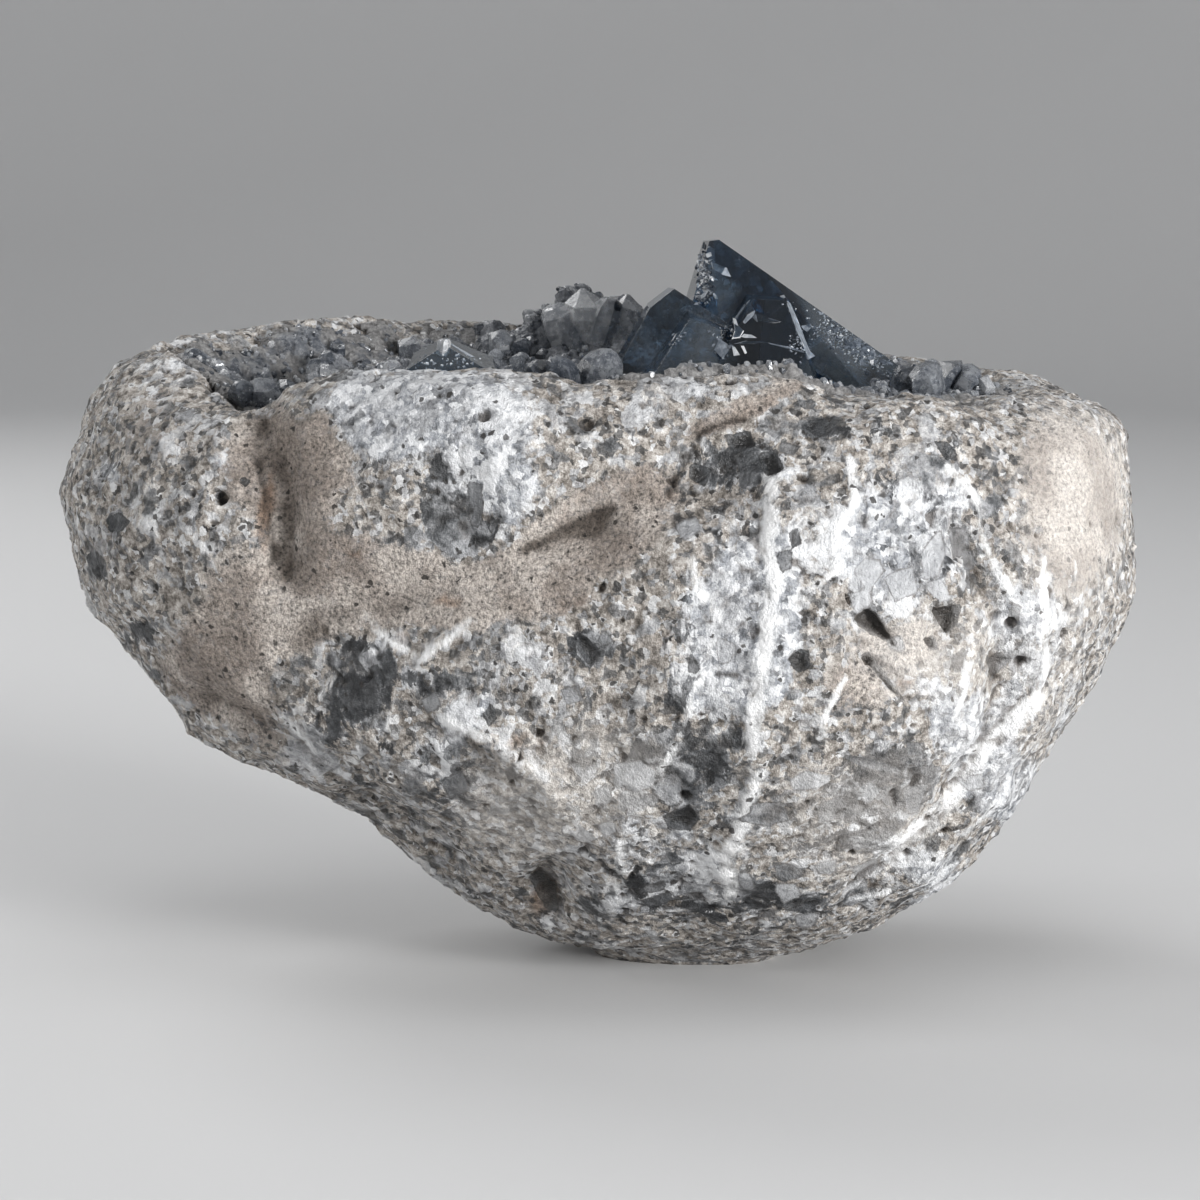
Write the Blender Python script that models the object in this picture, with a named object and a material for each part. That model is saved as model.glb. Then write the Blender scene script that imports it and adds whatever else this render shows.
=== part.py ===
"""A celestite geode: a lump of pale rock, opened at the top, with blue crystals in its shallow hollow.

The stone stands on its own small flat spot. +X runs along its length, to the right as it is shown,
+Y runs away from the viewer and +Z is up. The origin is below the middle of its box, at the flat spot.
Every size in this file is in millimetres, and MM turns it into Blender's metres.
"""

import math
import random

import bmesh
import bpy
import numpy as np
from mathutils import Matrix, Vector, noise

MM = 0.001
GAP = 0.4  # clear space between two pieces that grow against each other

# The stone's two ends: how far it reaches to the left and to the right at each height.
STONE_ENDS = (
    # height, left, right
    (0.0, 0.0, 31.0),
    (2.5, -4.5, 39.0),
    (6.0, -16.2, 50.2),
    (12.0, -27.8, 60.0),
    (17.0, -34.2, 67.0),
    (28.0, -46.3, 74.6),
    (35.0, -56.8, 79.4),
    (40.0, -68.8, 81.4),
    (47.0, -78.4, 86.6),
    (51.0, -81.2, 89.2),
    (62.0, -88.4, 94.8),
    (72.0, -95.6, 98.9),
    (85.0, -99.3, 97.7),
    (98.0, -95.2, 97.3),
    (107.0, -91.4, 95.5),
    (116.0, -84.0, 88.0),
    (124.0, -70.0, 72.0),
)
# How far it reaches to the front and to the back at each height.
STONE_SIDES = (
    # height, front, back
    (0.0, 10.0, 15.0),
    (2.5, 15.0, 20.0),
    (6.0, 22.5, 26.0),
    (17.0, 39.0, 38.0),
    (28.0, 49.0, 47.0),
    (40.0, 57.0, 55.0),
    (55.0, 62.0, 61.5),
    (72.0, 63.0, 65.0),
    (90.0, 60.5, 64.5),
    (106.0, 55.0, 60.0),
    (116.0, 48.0, 53.0),
    (124.0, 38.0, 42.0),
)
NARROWING = 0.13  # the left end is that much shallower than the middle, and the right end deeper
END_ROUNDNESS = 2.35  # exponents of the level outline: 2 is an ellipse, more is boxier
SIDE_ROUNDNESS = 2.15
MEAN_RADIUS = 58.0

# The rim's height all round, by the angle about the hollow's middle from +X, anticlockwise from above.
RIM_HEIGHTS = (
    (0, 106.0),
    (18, 106.6),
    (28, 108.6),
    (50, 111.0),
    (78, 113.5),
    (103, 115.9),
    (108, 115.6),
    (112, 117.6),
    (117, 116.4),
    (122, 116.8),
    (128, 118.6),
    (136, 118.2),
    (145, 117.6),
    (151, 115.4),
    (162, 114.7),
    (178, 114.0),
    (198, 113.0),
    (212, 107.0),
    (221, 104.4),
    (228, 108.0),
    (235, 109.6),
    (240, 111.2),
    (247, 112.8),
    (254, 111.9),
    (262, 110.1),
    (268, 109.6),
    (273, 111.2),
    (282, 112.4),
    (290, 113.6),
    (296, 112.0),
    (303, 109.3),
    (309, 106.7),
    (314, 105.3),
    (326, 106.0),
    (339, 105.8),
)
RIM_ROUNDING = 7.0
SHOULDER_FALL = 16.0  # how fast the top falls away outside the rim

HOLLOW_MIDDLE = Vector((0.0, 1.0))
HOLLOW_REACH = Vector((79.0, 47.0))
HOLLOW_DEPTH = 23.0
LEFT_BASIN = (-62.0, -12.0, 17.0, 22.0, 14.0)  # middle x, y, reach x, y, extra depth

HEART = Vector((-8.0, 0.0, 27.0))  # a point inside, from which all of the surface is in sight
FOOT_CUT = 0.2  # what is taken off below, so that the foot ends in one flat face
STONE_FINENESS = 7
STONE_FACES = 4100

# Dents and swellings of the front and the back: middle x, z, reach x, z, turn in degrees, height.
FRONT_LUMPS = (
    (34, 60, 32, 34, 0, 5.0),  # the big round belly
    (-78, 84, 15, 24, 0, 3.0),  # the lobe at the left end
    (-27, 101, 19, 11, 0, 3.4),  # the white crystalline patch under the rim
    (-25, 89, 5, 9, 8, -3.2),  # the glassy pocket in it
    (22, 94, 13, 7, 25, -3.0),  # the rough dent below the rim
    (-10, 18, 5, 7, -20, -3.4),  # the notch at the foot
    (45, 69, 4.5, 3.5, -30, -2.8),  # two torn-out crystal seats in the belly
    (58, 70, 3.5, 3.5, 0, -2.4),
    (81, 85, 10, 22, 0, 2.0),  # the bare right shoulder
    (-34, 52, 18, 9, -30, 2.0),
)
BACK_LUMPS = (
    (-50, 78, 26, 22, 0, 4.0),
    (8, 62, 16, 24, 20, -4.5),
    (52, 70, 26, 26, 0, 4.0),
    (30, 30, 20, 12, 0, 2.5),
    (-20, 96, 24, 9, -10, 2.5),
    (76, 96, 12, 10, 0, -3.0),
)
# Long furrows and ridges of the front: points x, z, then their half width and height.
FRONT_STROKES = (
    # the smooth clay channel that falls from the rim to the left
    (((42, 109), (28, 106), (16, 100), (3, 92), (-10, 85), (-29, 75), (-48, 67)), 8.0, -4.0),
    # the groove in its floor
    (((-12, 83), (-6, 86), (0, 87)), 1.8, -1.8),
    # the upright crease beside the left lobe
    (((-59, 104), (-56, 94), (-55, 79)), 4.2, -4.0),
    # the crease that parts the belly from the right shoulder
    (((59, 84), (67, 71), (67, 55), (59, 36), (46, 22)), 3.8, -3.0),
    # the pale lip outside the crease
    (((65, 84), (73, 70), (73, 53), (64, 33), (52, 20)), 3.4, 1.4),
    # the ridge that runs along the belly inside it
    (((56, 80), (60, 67), (58, 49), (49, 33)), 4.4, 1.6),
    # ribs down the belly
    (((29, 91), (28, 74), (27, 54), (23, 28)), 3.0, 1.3),
    (((15, 81), (13, 66), (8, 50), (2, 29)), 3.4, 1.1),
    (((41, 71), (38, 57), (35, 43)), 3.0, 1.0),
    # the slanting white ridge at the lower left
    (((-26, 57), (-17, 49), (-7, 41)), 3.0, 2.0),
    # the ledge along the underside
    (((-68, 53), (-47, 42), (-27, 23)), 4.0, -2.0),
)
BACK_STROKES = (
    (((-88, 96), (-60, 74), (-30, 66), (0, 48)), 5.0, -3.5),
    (((34, 104), (40, 80), (30, 52), (40, 26)), 5.0, -3.5),
    (((-30, 40), (-6, 22), (20, 12)), 4.5, 2.2),
)
WANDER = (14.0, 2.2)  # how the furrows and ridges wander: wavelength and shift
SWELLS = ((34.0, 2.2, 3.0), (15.0, 1.1, 11.0), (7.5, 0.55, 23.0))  # wavelength, height, offset

# The bed of small crystals in the hollow.
BED_LEVEL = 106.3
BED_FILL = 0.985  # its reach against the hollow's
BED_DEPTH = 40.0
BED_FINENESS = 6
BED_LUMPS = (
    # middle x, y, reach x, y, height
    (-5, 31, 14, 10, 11.0),  # the mound at the back
    (18, 30, 16, 11, 6.0),
    (0, 26, 60, 20, 4.0),  # the ground that climbs to the back
    (-62, -13, 13, 20, -9.0),  # the open basin at the left
    (-30, -33, 14, 8, 0.5),
    (64, -2, 12, 16, 1.0),
    (8, -36, 30, 8, -2.5),
    (-12, -18, 18, 10, -2.0),
)
BED_SEED = 12
BED_FACES = 1000
# The small crystals that can be told apart: x, y, width, height over the bed, lean in degrees, the
# way it leans and the turn about its own length.
SINGLE_CRYSTALS = (
    (-4.5, 29, 9.5, 2.2, 14, 200, 20),  # the pale ones on the mound
    (4.5, 31, 8.0, 2.4, 18, 20, 70),
    (2.0, 23, 5.0, 3.0, 10, 270, 50),
    (-12.0, 25, 7.0, 2.8, 26, 160, 110),
    (11.0, 25, 7.5, 3.6, 16, 300, 35),
    (-8.2, -26, 8.6, 6.0, 12, 250, 80),  # the clear ones before the dark blade
    (-0.6, -19, 7.0, 7.5, 16, 290, 10),
    (-14.5, -19, 6.5, 4.5, 30, 200, 130),
    (-27.5, -16, 4.5, 5.0, 12, 60, 15),
    (-20.0, -8, 7.0, 4.0, 28, 180, 60),
    (-37.0, -8, 6.5, 4.0, 30, 140, 150),
    (-50.0, 14, 7.0, 4.5, 22, 240, 30),
    (-60.0, -20, 8.0, 5.0, 20, 250, 75),  # in the open basin
    (-68.0, -8, 6.5, 5.0, 30, 190, 5),
    (-55.0, -6, 7.5, 5.0, 26, 330, 100),
    (60.0, 4, 8.0, 3.6, 24, 150, 40),  # the cluster at the right
    (66.0, 2, 6.5, 4.5, 20, 10, 90),
    (64.0, -10, 7.0, 4.0, 30, 280, 25),
    (57.0, -18, 7.5, 4.0, 28, 260, 60),
    (50.0, -25, 6.0, 3.5, 24, 230, 140),
)
DRUSE_COUNT = 114
DRUSE_SPACING = 7.6
DRUSE_WIDTHS = (7.5, 11.5)
DRUSE_KEEP_OUT = (9, 56, -26, 14)  # the large crystals' place: left, right, front, back

# Colours (linear) and finishes, as the photographed stone has them.
ROCK_LOOK = (0.42, 0.38, 0.34), 0.85, 0.0
CRUST_LOOK = (0.20, 0.24, 0.30), 0.25, 0.0
CRYSTAL_LOOK = (0.08, 0.13, 0.20), 0.08, 0.0


def clear_scene():
    for obj in list(bpy.data.objects):
        bpy.data.objects.remove(obj, do_unlink=True)


def smooth_curve(at, table, column):
    """Reads a table's column at those places of its first column, along a curve with no overshoot."""
    x = np.array([row[0] for row in table], float)
    y = np.array([row[column] for row in table], float)
    step = np.diff(x)
    rise = np.diff(y) / step
    slope = np.zeros_like(y)
    same_way = rise[:-1] * rise[1:] > 0
    total = np.where(same_way, rise[:-1] + rise[1:], 1.0)
    slope[1:-1] = np.where(same_way, 2 * rise[:-1] * rise[1:] / total, 0.0)
    slope[0] = rise[0]
    slope[-1] = rise[-1]
    at = np.clip(at, x[0], x[-1])
    i = np.clip(np.searchsorted(x, at) - 1, 0, len(x) - 2)
    t = (at - x[i]) / step[i]
    start = (1 + 2 * t) * (1 - t) ** 2 * y[i] + t * (1 - t) ** 2 * step[i] * slope[i]
    end = t * t * (3 - 2 * t) * y[i + 1] + t * t * (t - 1) * step[i] * slope[i + 1]
    return start + end


def smooth_step(x):
    x = np.clip(x, 0.0, 1.0)
    return x * x * (3 - 2 * x)


def rim_height(x, y):
    """The rim's height in the direction of a point, in plan."""
    before = [(angle - 360, height) for angle, height in RIM_HEIGHTS]
    after = [(angle + 360, height) for angle, height in RIM_HEIGHTS]
    wide_y = (y - HOLLOW_MIDDLE.y) * HOLLOW_REACH.x / HOLLOW_REACH.y
    angle = np.degrees(np.arctan2(wide_y, x - HOLLOW_MIDDLE.x)) % 360
    return smooth_curve(angle, before + list(RIM_HEIGHTS) + after, 1)


def hollow_share(x, y):
    """0 at the hollow's middle, 1 on its rim and more outside it."""
    across = (x - HOLLOW_MIDDLE.x) / HOLLOW_REACH.x
    along = (y - HOLLOW_MIDDLE.y) / HOLLOW_REACH.y
    angle = np.arctan2(along, across)
    uneven = 1 + 0.045 * np.sin(3 * angle + 0.6) + 0.03 * np.sin(7 * angle + 2.0)
    return np.hypot(across, along) * uneven


def swelling(x, y, middle_x, middle_y, reach_x, reach_y, turn=0.0):
    """1 in the middle of a round patch, falling softly to 0 at about twice its reach."""
    turn = math.radians(turn)
    dx = x - middle_x
    dy = y - middle_y
    u = (dx * math.cos(turn) + dy * math.sin(turn)) / reach_x
    v = (dy * math.cos(turn) - dx * math.sin(turn)) / reach_y
    return np.exp(-(u * u + v * v))


def top_height(x, y):
    """The height of the stone's top: its rim, the fall outside the rim and the hollow inside it."""
    share = hollow_share(x, y)
    depth = HOLLOW_DEPTH * np.clip(1 - share**2, 0, None)
    depth = depth + LEFT_BASIN[4] * swelling(x, y, *LEFT_BASIN[:4]) * smooth_step(4 * (1 - share))
    fall = SHOULDER_FALL * np.clip(share - 1, 0, None) ** 1.5
    return rim_height(x, y) - depth - fall


def side_level(points):
    """Under 0 inside the stone's sides, over 0 outside, and near to millimetres close to them."""
    x, y, z = points.T
    left = smooth_curve(z, STONE_ENDS, 1)
    right = smooth_curve(z, STONE_ENDS, 2)
    along = (x - (left + right) / 2) / ((right - left) / 2)
    front = smooth_curve(z, STONE_SIDES, 1)
    back = smooth_curve(z, STONE_SIDES, 2)
    narrowed = 1 + NARROWING * np.clip(along, -1.3, 1.3)
    across = y / (np.where(y < 0, front, back) * narrowed)
    share = np.abs(along) ** END_ROUNDNESS + np.abs(across) ** SIDE_ROUNDNESS
    return MEAN_RADIUS * (np.sqrt(share) - 1)


def stone_level(points):
    """Under 0 inside the stone and over 0 outside it."""
    sides = side_level(points)
    top = points[:, 2] - top_height(points[:, 0], points[:, 1])
    apart = np.clip(RIM_ROUNDING - np.abs(sides - top), 0, None)
    rounded = np.maximum(sides, top) + apart**2 / (4 * RIM_ROUNDING)
    return np.maximum(rounded, -points[:, 2])


def pushed_out(directions):
    """Where a ray from the stone's heart meets its surface, for each direction."""
    heart = np.array(HEART)
    inside = np.zeros(len(directions))
    outside = np.full(len(directions), 190.0)
    for _ in range(30):
        middle = (inside + outside) / 2
        beyond = stone_level(heart + directions * middle[:, None]) > 0
        outside = np.where(beyond, middle, outside)
        inside = np.where(beyond, inside, middle)
    return heart + directions * inside[:, None]


def distance_to_line(x, z, points):
    """The distance from each place to a line of points."""
    nearest = np.full(len(x), 1e9)
    for (ax, az), (bx, bz) in zip(points, points[1:]):
        length = math.hypot(bx - ax, bz - az)
        along = ((x - ax) * (bx - ax) + (z - az) * (bz - az)) / length**2
        along = np.clip(along, 0, 1)
        gap = np.hypot(x - ax - along * (bx - ax), z - az - along * (bz - az))
        nearest = np.minimum(nearest, gap)
    return nearest


def relief(points):
    """How far the surface stands out or in at each point: the lumps, dents, furrows and ridges."""
    x, y, z = points.T
    places = points / WANDER[0]
    x = x + WANDER[1] * np.array([noise.noise(place) for place in places + 5.0])
    z = z + WANDER[1] * np.array([noise.noise(place) for place in places + 9.0])
    height = np.zeros(len(points))
    for lumps, strokes, facing in (
        (FRONT_LUMPS, FRONT_STROKES, smooth_step((-y - 4) / 22)),
        (BACK_LUMPS, BACK_STROKES, smooth_step((y - 4) / 22)),
    ):
        for middle_x, middle_z, reach_x, reach_z, turn, tall in lumps:
            height += facing * tall * swelling(x, z, middle_x, middle_z, reach_x, reach_z, turn)
        for line, half_width, tall in strokes:
            height += facing * tall * np.exp(-((distance_to_line(x, z, line) / half_width) ** 2))
    for wavelength, tall, offset in SWELLS:
        places = points / wavelength + offset
        height += tall * np.array([noise.noise(place) for place in places])
    return height


def new_object(name, mesh, look, collection):
    obj = bpy.data.objects.new(name, mesh)
    collection.objects.link(obj)
    colour, roughness, metallic = look
    material = bpy.data.materials.new(name)
    material.use_nodes = True
    shader = material.node_tree.nodes["Principled BSDF"]
    shader.inputs["Base Color"].default_value = (*colour, 1.0)
    shader.inputs["Roughness"].default_value = roughness
    shader.inputs["Metallic"].default_value = metallic
    mesh.materials.clear()
    mesh.materials.append(material)
    return obj


def sphere_mesh(name, fineness):
    """A round ball of even triangles, and its points as unit directions."""
    bm = bmesh.new()
    bmesh.ops.create_icosphere(bm, subdivisions=fineness, radius=1.0)
    mesh = bpy.data.meshes.new(name)
    bm.to_mesh(mesh)
    bm.free()
    directions = np.empty(len(mesh.vertices) * 3)
    mesh.vertices.foreach_get("co", directions)
    return mesh, directions.reshape(-1, 3)


def place_points(mesh, points):
    mesh.vertices.foreach_set("co", (points * MM).ravel())
    mesh.update()


def applied(obj):
    """Bakes the object's modifiers into its mesh."""
    graph = bpy.context.evaluated_depsgraph_get()
    baked = bpy.data.meshes.new_from_object(obj.evaluated_get(graph))
    obj.modifiers.clear()
    obj.data = baked
    return obj


def combine(obj, other, operation):
    """Joins another object to this one, or cuts this one with it, and bakes the result."""
    step = obj.modifiers.new(operation.lower(), "BOOLEAN")
    step.operation = operation
    step.solver = "EXACT"
    step.use_self = operation == "UNION"
    step.object = other
    return applied(obj)


def hidden(obj):
    """Marks an object as a tool that shapes others and isn't part of the geode itself."""
    obj.hide_render = True
    obj.display_type = "WIRE"
    return obj


def swollen(obj, by, collection):
    """A cutter: a copy of the object that stands out all round by that much."""
    cutter = hidden(bpy.data.objects.new(obj.name + "_cutter", obj.data.copy()))
    collection.objects.link(cutter)
    swell = cutter.modifiers.new("swell", "DISPLACE")
    swell.direction = "NORMAL"
    swell.mid_level = 0.0
    swell.strength = by * MM
    return applied(cutter)


def keep_largest(obj):
    """Drops the crumbs that a cut left loose beside the largest body."""
    bm = bmesh.new()
    bm.from_mesh(obj.data)
    bodies = []
    waiting = set(bm.verts)
    while waiting:
        body = set()
        reached = [waiting.pop()]
        while reached:
            vertex = reached.pop()
            body.add(vertex)
            for edge in vertex.link_edges:
                other = edge.other_vert(vertex)
                if other in waiting:
                    waiting.remove(other)
                    reached.append(other)
        bodies.append(body)
    bodies.sort(key=len)
    crumbs = [vertex for body in bodies[:-1] for vertex in body]
    bmesh.ops.delete(bm, geom=crumbs, context="VERTS")
    bm.to_mesh(obj.data)
    bm.free()


def make_rock(collection):
    """The stone: a ball whose points are pushed out to the stone's form, then given its relief."""
    mesh, directions = sphere_mesh("rock", STONE_FINENESS)
    points = pushed_out(directions)
    place_points(mesh, points)
    normals = np.array([vertex.normal for vertex in mesh.vertices])
    foot = smooth_step((points[:, 2] - 1.0) / 9.0)
    inside = 1 - 0.8 * smooth_step((1.0 - hollow_share(points[:, 0], points[:, 1])) * 8)
    on_top = points[:, 2] > 90
    height = relief(points) * foot * np.where(on_top, inside, 1.0)
    points = points + normals * height[:, None]
    points[:, 2] = np.maximum(points[:, 2], 0.0)
    place_points(mesh, points)
    rock = new_object("rock", mesh, ROCK_LOOK, collection)
    coarser = rock.modifiers.new("coarser", "DECIMATE")
    coarser.ratio = STONE_FACES / len(mesh.polygons)
    applied(rock)
    bm = bmesh.new()
    bm.from_mesh(rock.data)
    slice_off(bm, (0, 0, FOOT_CUT * MM), (0, 0, -1))
    bm.to_mesh(rock.data)
    bm.free()
    return rock


def bed_height(x, y):
    height = np.full(np.shape(x), BED_LEVEL)
    for middle_x, middle_y, reach_x, reach_y, tall in BED_LUMPS:
        height = height + tall * swelling(x, y, middle_x, middle_y, reach_x, reach_y)
    share = hollow_share(x, y)
    edge = rim_height(x, y) - 1.0
    return height + (edge - height) * smooth_step((share - 0.7) / 0.3)


def make_bed(collection):
    """The ground that the small crystals grow from: a flattened ball with an uneven upper side."""
    mesh, directions = sphere_mesh("crystal_crust", BED_FINENESS)
    flat = np.hypot(directions[:, 0], directions[:, 1])
    spread = np.sin(np.arcsin(np.clip(flat, 0, 1))) ** 0.85 / np.maximum(flat, 1e-6)
    x = HOLLOW_MIDDLE.x + directions[:, 0] * spread * HOLLOW_REACH.x * BED_FILL
    y = HOLLOW_MIDDLE.y + directions[:, 1] * spread * HOLLOW_REACH.y * BED_FILL
    top = bed_height(x, y)
    rough = np.array([noise.noise((a / 5.0, b / 5.0, 4.0)) for a, b in zip(x, y)])
    side = smooth_step(directions[:, 2] / 0.3 + 0.5)
    z = top + 1.4 * rough - BED_DEPTH * (1 - side)
    place_points(mesh, np.column_stack((x, y, z)))
    bed = new_object("crystal_crust", mesh, CRUST_LOOK, collection)
    coarser = bed.modifiers.new("coarser", "DECIMATE")
    coarser.ratio = BED_FACES / len(mesh.polygons)
    return applied(bed)


def slice_off(bm, point, normal):
    """Cuts away what lies beyond a plane, and closes the cut with one flat face."""
    everything = bm.verts[:] + bm.edges[:] + bm.faces[:]
    cut = bmesh.ops.bisect_plane(
        bm, geom=everything, plane_co=point, plane_no=normal, clear_outer=True
    )
    edges = [part for part in cut["geom_cut"] if isinstance(part, bmesh.types.BMEdge)]
    if edges:
        bmesh.ops.edgeloop_fill(bm, edges=edges)


def crystal_block(size):
    bm = bmesh.new()
    bmesh.ops.create_cube(bm, size=size)
    return bm


def druse_crystal(width, height, rng):
    """One upright crystal of celestite's habit: a six-sided prism with a roof like a chisel."""
    thick = width * rng.uniform(0.7, 1.0)
    bm = crystal_block(5 * width)
    for way in (-1, 1):
        slice_off(bm, (way * width * 0.42, 0, 0), (way, 0, 0))
        for side in (-1, 1):
            slice_off(bm, (0, side * thick / 2, 0), (way * rng.uniform(0.5, 0.8), side, 0))
    slice_off(bm, (0, 0, -0.6 * width), (0, 0, -1))
    roof = math.radians(rng.uniform(36, 54))
    ridge = rng.uniform(-0.12, 0.12) * width
    for way in (-1, 1):
        slice_off(bm, (0, ridge, height), (0, way * math.sin(roof), math.cos(roof)))
    hip = math.radians(rng.uniform(40, 70))
    way = rng.choice((-1, 1))
    slice_off(bm, (way * width * 0.16, 0, height), (way * math.sin(hip), 0, math.cos(hip)))
    return bm


def joined_mesh(name, parts):
    """One mesh of several bmesh solids, each moved by its matrix."""
    whole = bmesh.new()
    for bm, matrix in parts:
        bm.transform(matrix)
        piece = bpy.data.meshes.new("piece")
        bm.to_mesh(piece)
        bm.free()
        whole.from_mesh(piece)
        bpy.data.meshes.remove(piece)
    mesh = bpy.data.meshes.new(name)
    whole.to_mesh(mesh)
    whole.free()
    return mesh


def druse_crystals(rng):
    """The small crystals: those that can be told apart, then others scattered between them."""
    crystals = list(SINGLE_CRYSTALS)
    left, right, front, back = DRUSE_KEEP_OUT
    for _ in range(9000):
        x = rng.uniform(-HOLLOW_REACH.x, HOLLOW_REACH.x)
        y = rng.uniform(-HOLLOW_REACH.y, HOLLOW_REACH.y)
        share = float(hollow_share(np.array(x), np.array(y)))
        taken = left < x < right and front < y < back
        if share > 0.93 or taken or len(crystals) >= DRUSE_COUNT:
            continue
        if all(math.dist((x, y), crystal[:2]) > DRUSE_SPACING for crystal in crystals):
            width = rng.uniform(*DRUSE_WIDTHS)
            height = width * rng.uniform(0.15, 0.45) * (1 - smooth_step((share - 0.66) / 0.3))
            leaning = rng.uniform(0, 38), rng.uniform(0, 360), rng.uniform(0, 180)
            crystals.append((x, y, width, height, *leaning))
    return crystals


def make_druse(collection):
    """The small crystals, as one mesh of separate blocks that stand in the bed."""
    rng = random.Random(BED_SEED)
    parts = []
    for x, y, width, height, lean, way, turn in druse_crystals(rng):
        ground = float(bed_height(np.array(x), np.array(y)))
        turned = Matrix.Rotation(math.radians(turn), 4, "Z")
        leaning = Matrix.Rotation(math.radians(lean), 4, "Y")
        facing = Matrix.Rotation(math.radians(way), 4, "Z")
        place = Matrix.Translation((x, y, ground))
        parts.append((druse_crystal(width, height, rng), place @ facing @ leaning @ turned))
    mesh = joined_mesh("druse", parts)
    mesh.transform(Matrix.Scale(MM, 4))
    return hidden(new_object("druse", mesh, CRUST_LOOK, collection))


# Each large crystal: the middle of the block that it is cut from, then a point on each face and the
# way that the face looks.
TALL_BLADE = (
    (34, -1, 112),
    (
        ((30, -12.0, 116), (-0.10, -0.93, 0.34)),  # the broad smooth front
        ((30, 11.0, 116), (0.10, 0.95, 0.22)),
        ((21.4, 0, 133.3), (0.571, 0, 0.821)),  # the long slope to the right
        ((19.6, 0, 133.2), (-0.965, -0.06, 0.263)),  # the steep left end
        ((20.5, 0, 133.1), (-0.15, 0.0, 0.99)),  # the blunt tip
        ((33.9, -10.2, 122.4), (0.457, -0.60, 0.657)),  # the narrow bevel along the slope
        ((20.8, -6.8, 127.5), (-0.76, -0.62, 0.20)),  # the ribbed corner at the left
        ((16.3, 0, 120.5), (-0.50, -0.12, -0.86)),  # its lower edge, above the dark blade
        ((34, 0, 101), (0, 0, -1)),
    ),
)
FRONT_PYRAMID = (
    (31, -17, 112),
    (
        ((30.0, -19, 122.9), (0.06, -0.04, 1.0)),
        ((27.7, -19, 123.8), (-0.846, -0.12, 0.51)),
        ((32.2, -19, 123.8), (0.905, -0.12, 0.385)),
        ((30, -20.2, 123.4), (0.34, -0.84, 0.40)),
        ((28.4, -20.0, 123.4), (-0.52, -0.72, 0.44)),
        ((31, -10, 122.0), (0, 0.92, 0.35)),
        ((31, -17, 102), (0, 0, -1)),
    ),
)
DARK_BLADE = (
    (14, -6, 110),
    (
        ((8.9, -6, 121.2), (-0.87, -0.05, 0.488)),
        ((12.9, -6, 124.3), (-0.61, -0.05, 0.79)),
        ((13.2, -6, 124.4), (0.555, 0.05, 0.83)),
        ((14, -14.0, 110), (-0.22, -0.91, 0.34)),
        ((14, 3.0, 110), (0.1, 0.98, 0.12)),
        ((26, -6, 110), (1, 0, 0)),
        ((14, -6, 101), (0, 0, -1)),
    ),
)
LOW_WEDGE = (
    (16.5, -17, 108),
    (
        ((15.6, -18, 119.3), (-0.80, -0.10, 0.59)),
        ((16.2, -18, 119.6), (0.36, -0.10, 0.93)),
        ((17, -23.0, 110), (0.15, -0.90, 0.40)),
        ((17, -9.0, 110), (0, 1, 0)),
        ((23.4, -16, 112), (0.94, -0.30, 0.20)),
        ((16, -17, 102), (0, 0, -1)),
    ),
)
LEFT_PYRAMID = (
    (-26.5, -33, 106),
    (
        ((-28.0, -34, 115.3), (-0.49, -0.16, 0.86)),
        ((-25.6, -34, 115.2), (0.42, -0.14, 0.90)),
        ((-27, -39.3, 111.0), (-0.10, -0.80, 0.59)),
        ((-27, -26.0, 111.0), (0.05, 0.86, 0.50)),
        ((-34.6, -33, 108), (-0.95, 0, 0.30)),
        ((-17.0, -33, 108), (0.93, 0, 0.36)),
        ((-27, -33, 101), (0, 0, -1)),
    ),
)
OTHER_LARGE = (FRONT_PYRAMID, DARK_BLADE, LOW_WEDGE)
BLOCK_SIZE = 90.0


def cut_crystal(name, shape, collection, grown=0.0):
    """A large crystal, cut from a block by its faces, which can be moved outwards all round."""
    middle, faces = shape
    bm = crystal_block(BLOCK_SIZE)
    bm.transform(Matrix.Translation(middle))
    for point, normal in faces:
        slice_off(bm, Vector(point) + grown * Vector(normal).normalized(), normal)
    mesh = joined_mesh(name, [(bm, Matrix.Scale(MM, 4))])
    return new_object(name, mesh, CRYSTAL_LOOK, collection)


def make_large_crystals(collection):
    """Four crystals that grew through each other, joined in one solid."""
    cluster = cut_crystal("large_crystals", TALL_BLADE, collection)
    for shape in OTHER_LARGE:
        neighbour = cut_crystal("neighbour", shape, collection)
        combine(cluster, neighbour, "UNION")
        bpy.data.objects.remove(neighbour)
    return cluster


def set_down(pieces):
    """Moves the pieces together, so that the origin is below the middle of their box."""
    corners = [Vector(corner) for piece in pieces for corner in piece.bound_box]
    left, right = min(c.x for c in corners), max(c.x for c in corners)
    front, back = min(c.y for c in corners), max(c.y for c in corners)
    lowest = min(c.z for c in corners)
    middle = Vector(((left + right) / 2, (front + back) / 2, lowest))
    for piece in pieces:
        piece.data.transform(Matrix.Translation(-middle))


def main():
    clear_scene()
    geode = bpy.data.collections.new("celestite_geode")
    cutters = bpy.data.collections.new("cutters")
    bpy.context.scene.collection.children.link(geode)
    bpy.context.scene.collection.children.link(cutters)

    rock = make_rock(geode)
    large = make_large_crystals(geode)
    pyramid = cut_crystal("pyramid_crystal", LEFT_PYRAMID, geode)
    crust = make_bed(geode)
    druse = make_druse(cutters)

    combine(crust, druse, "UNION")
    rock_cutter = swollen(rock, GAP, cutters)
    for crystal in (large, pyramid):
        combine(crystal, rock_cutter, "DIFFERENCE")
    combine(crust, rock_cutter, "DIFFERENCE")
    for shape in (TALL_BLADE, *OTHER_LARGE, LEFT_PYRAMID):
        combine(crust, hidden(cut_crystal("crystal_cutter", shape, cutters, GAP)), "DIFFERENCE")
    keep_largest(crust)
    set_down((rock, crust, large, pyramid))


main()
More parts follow.
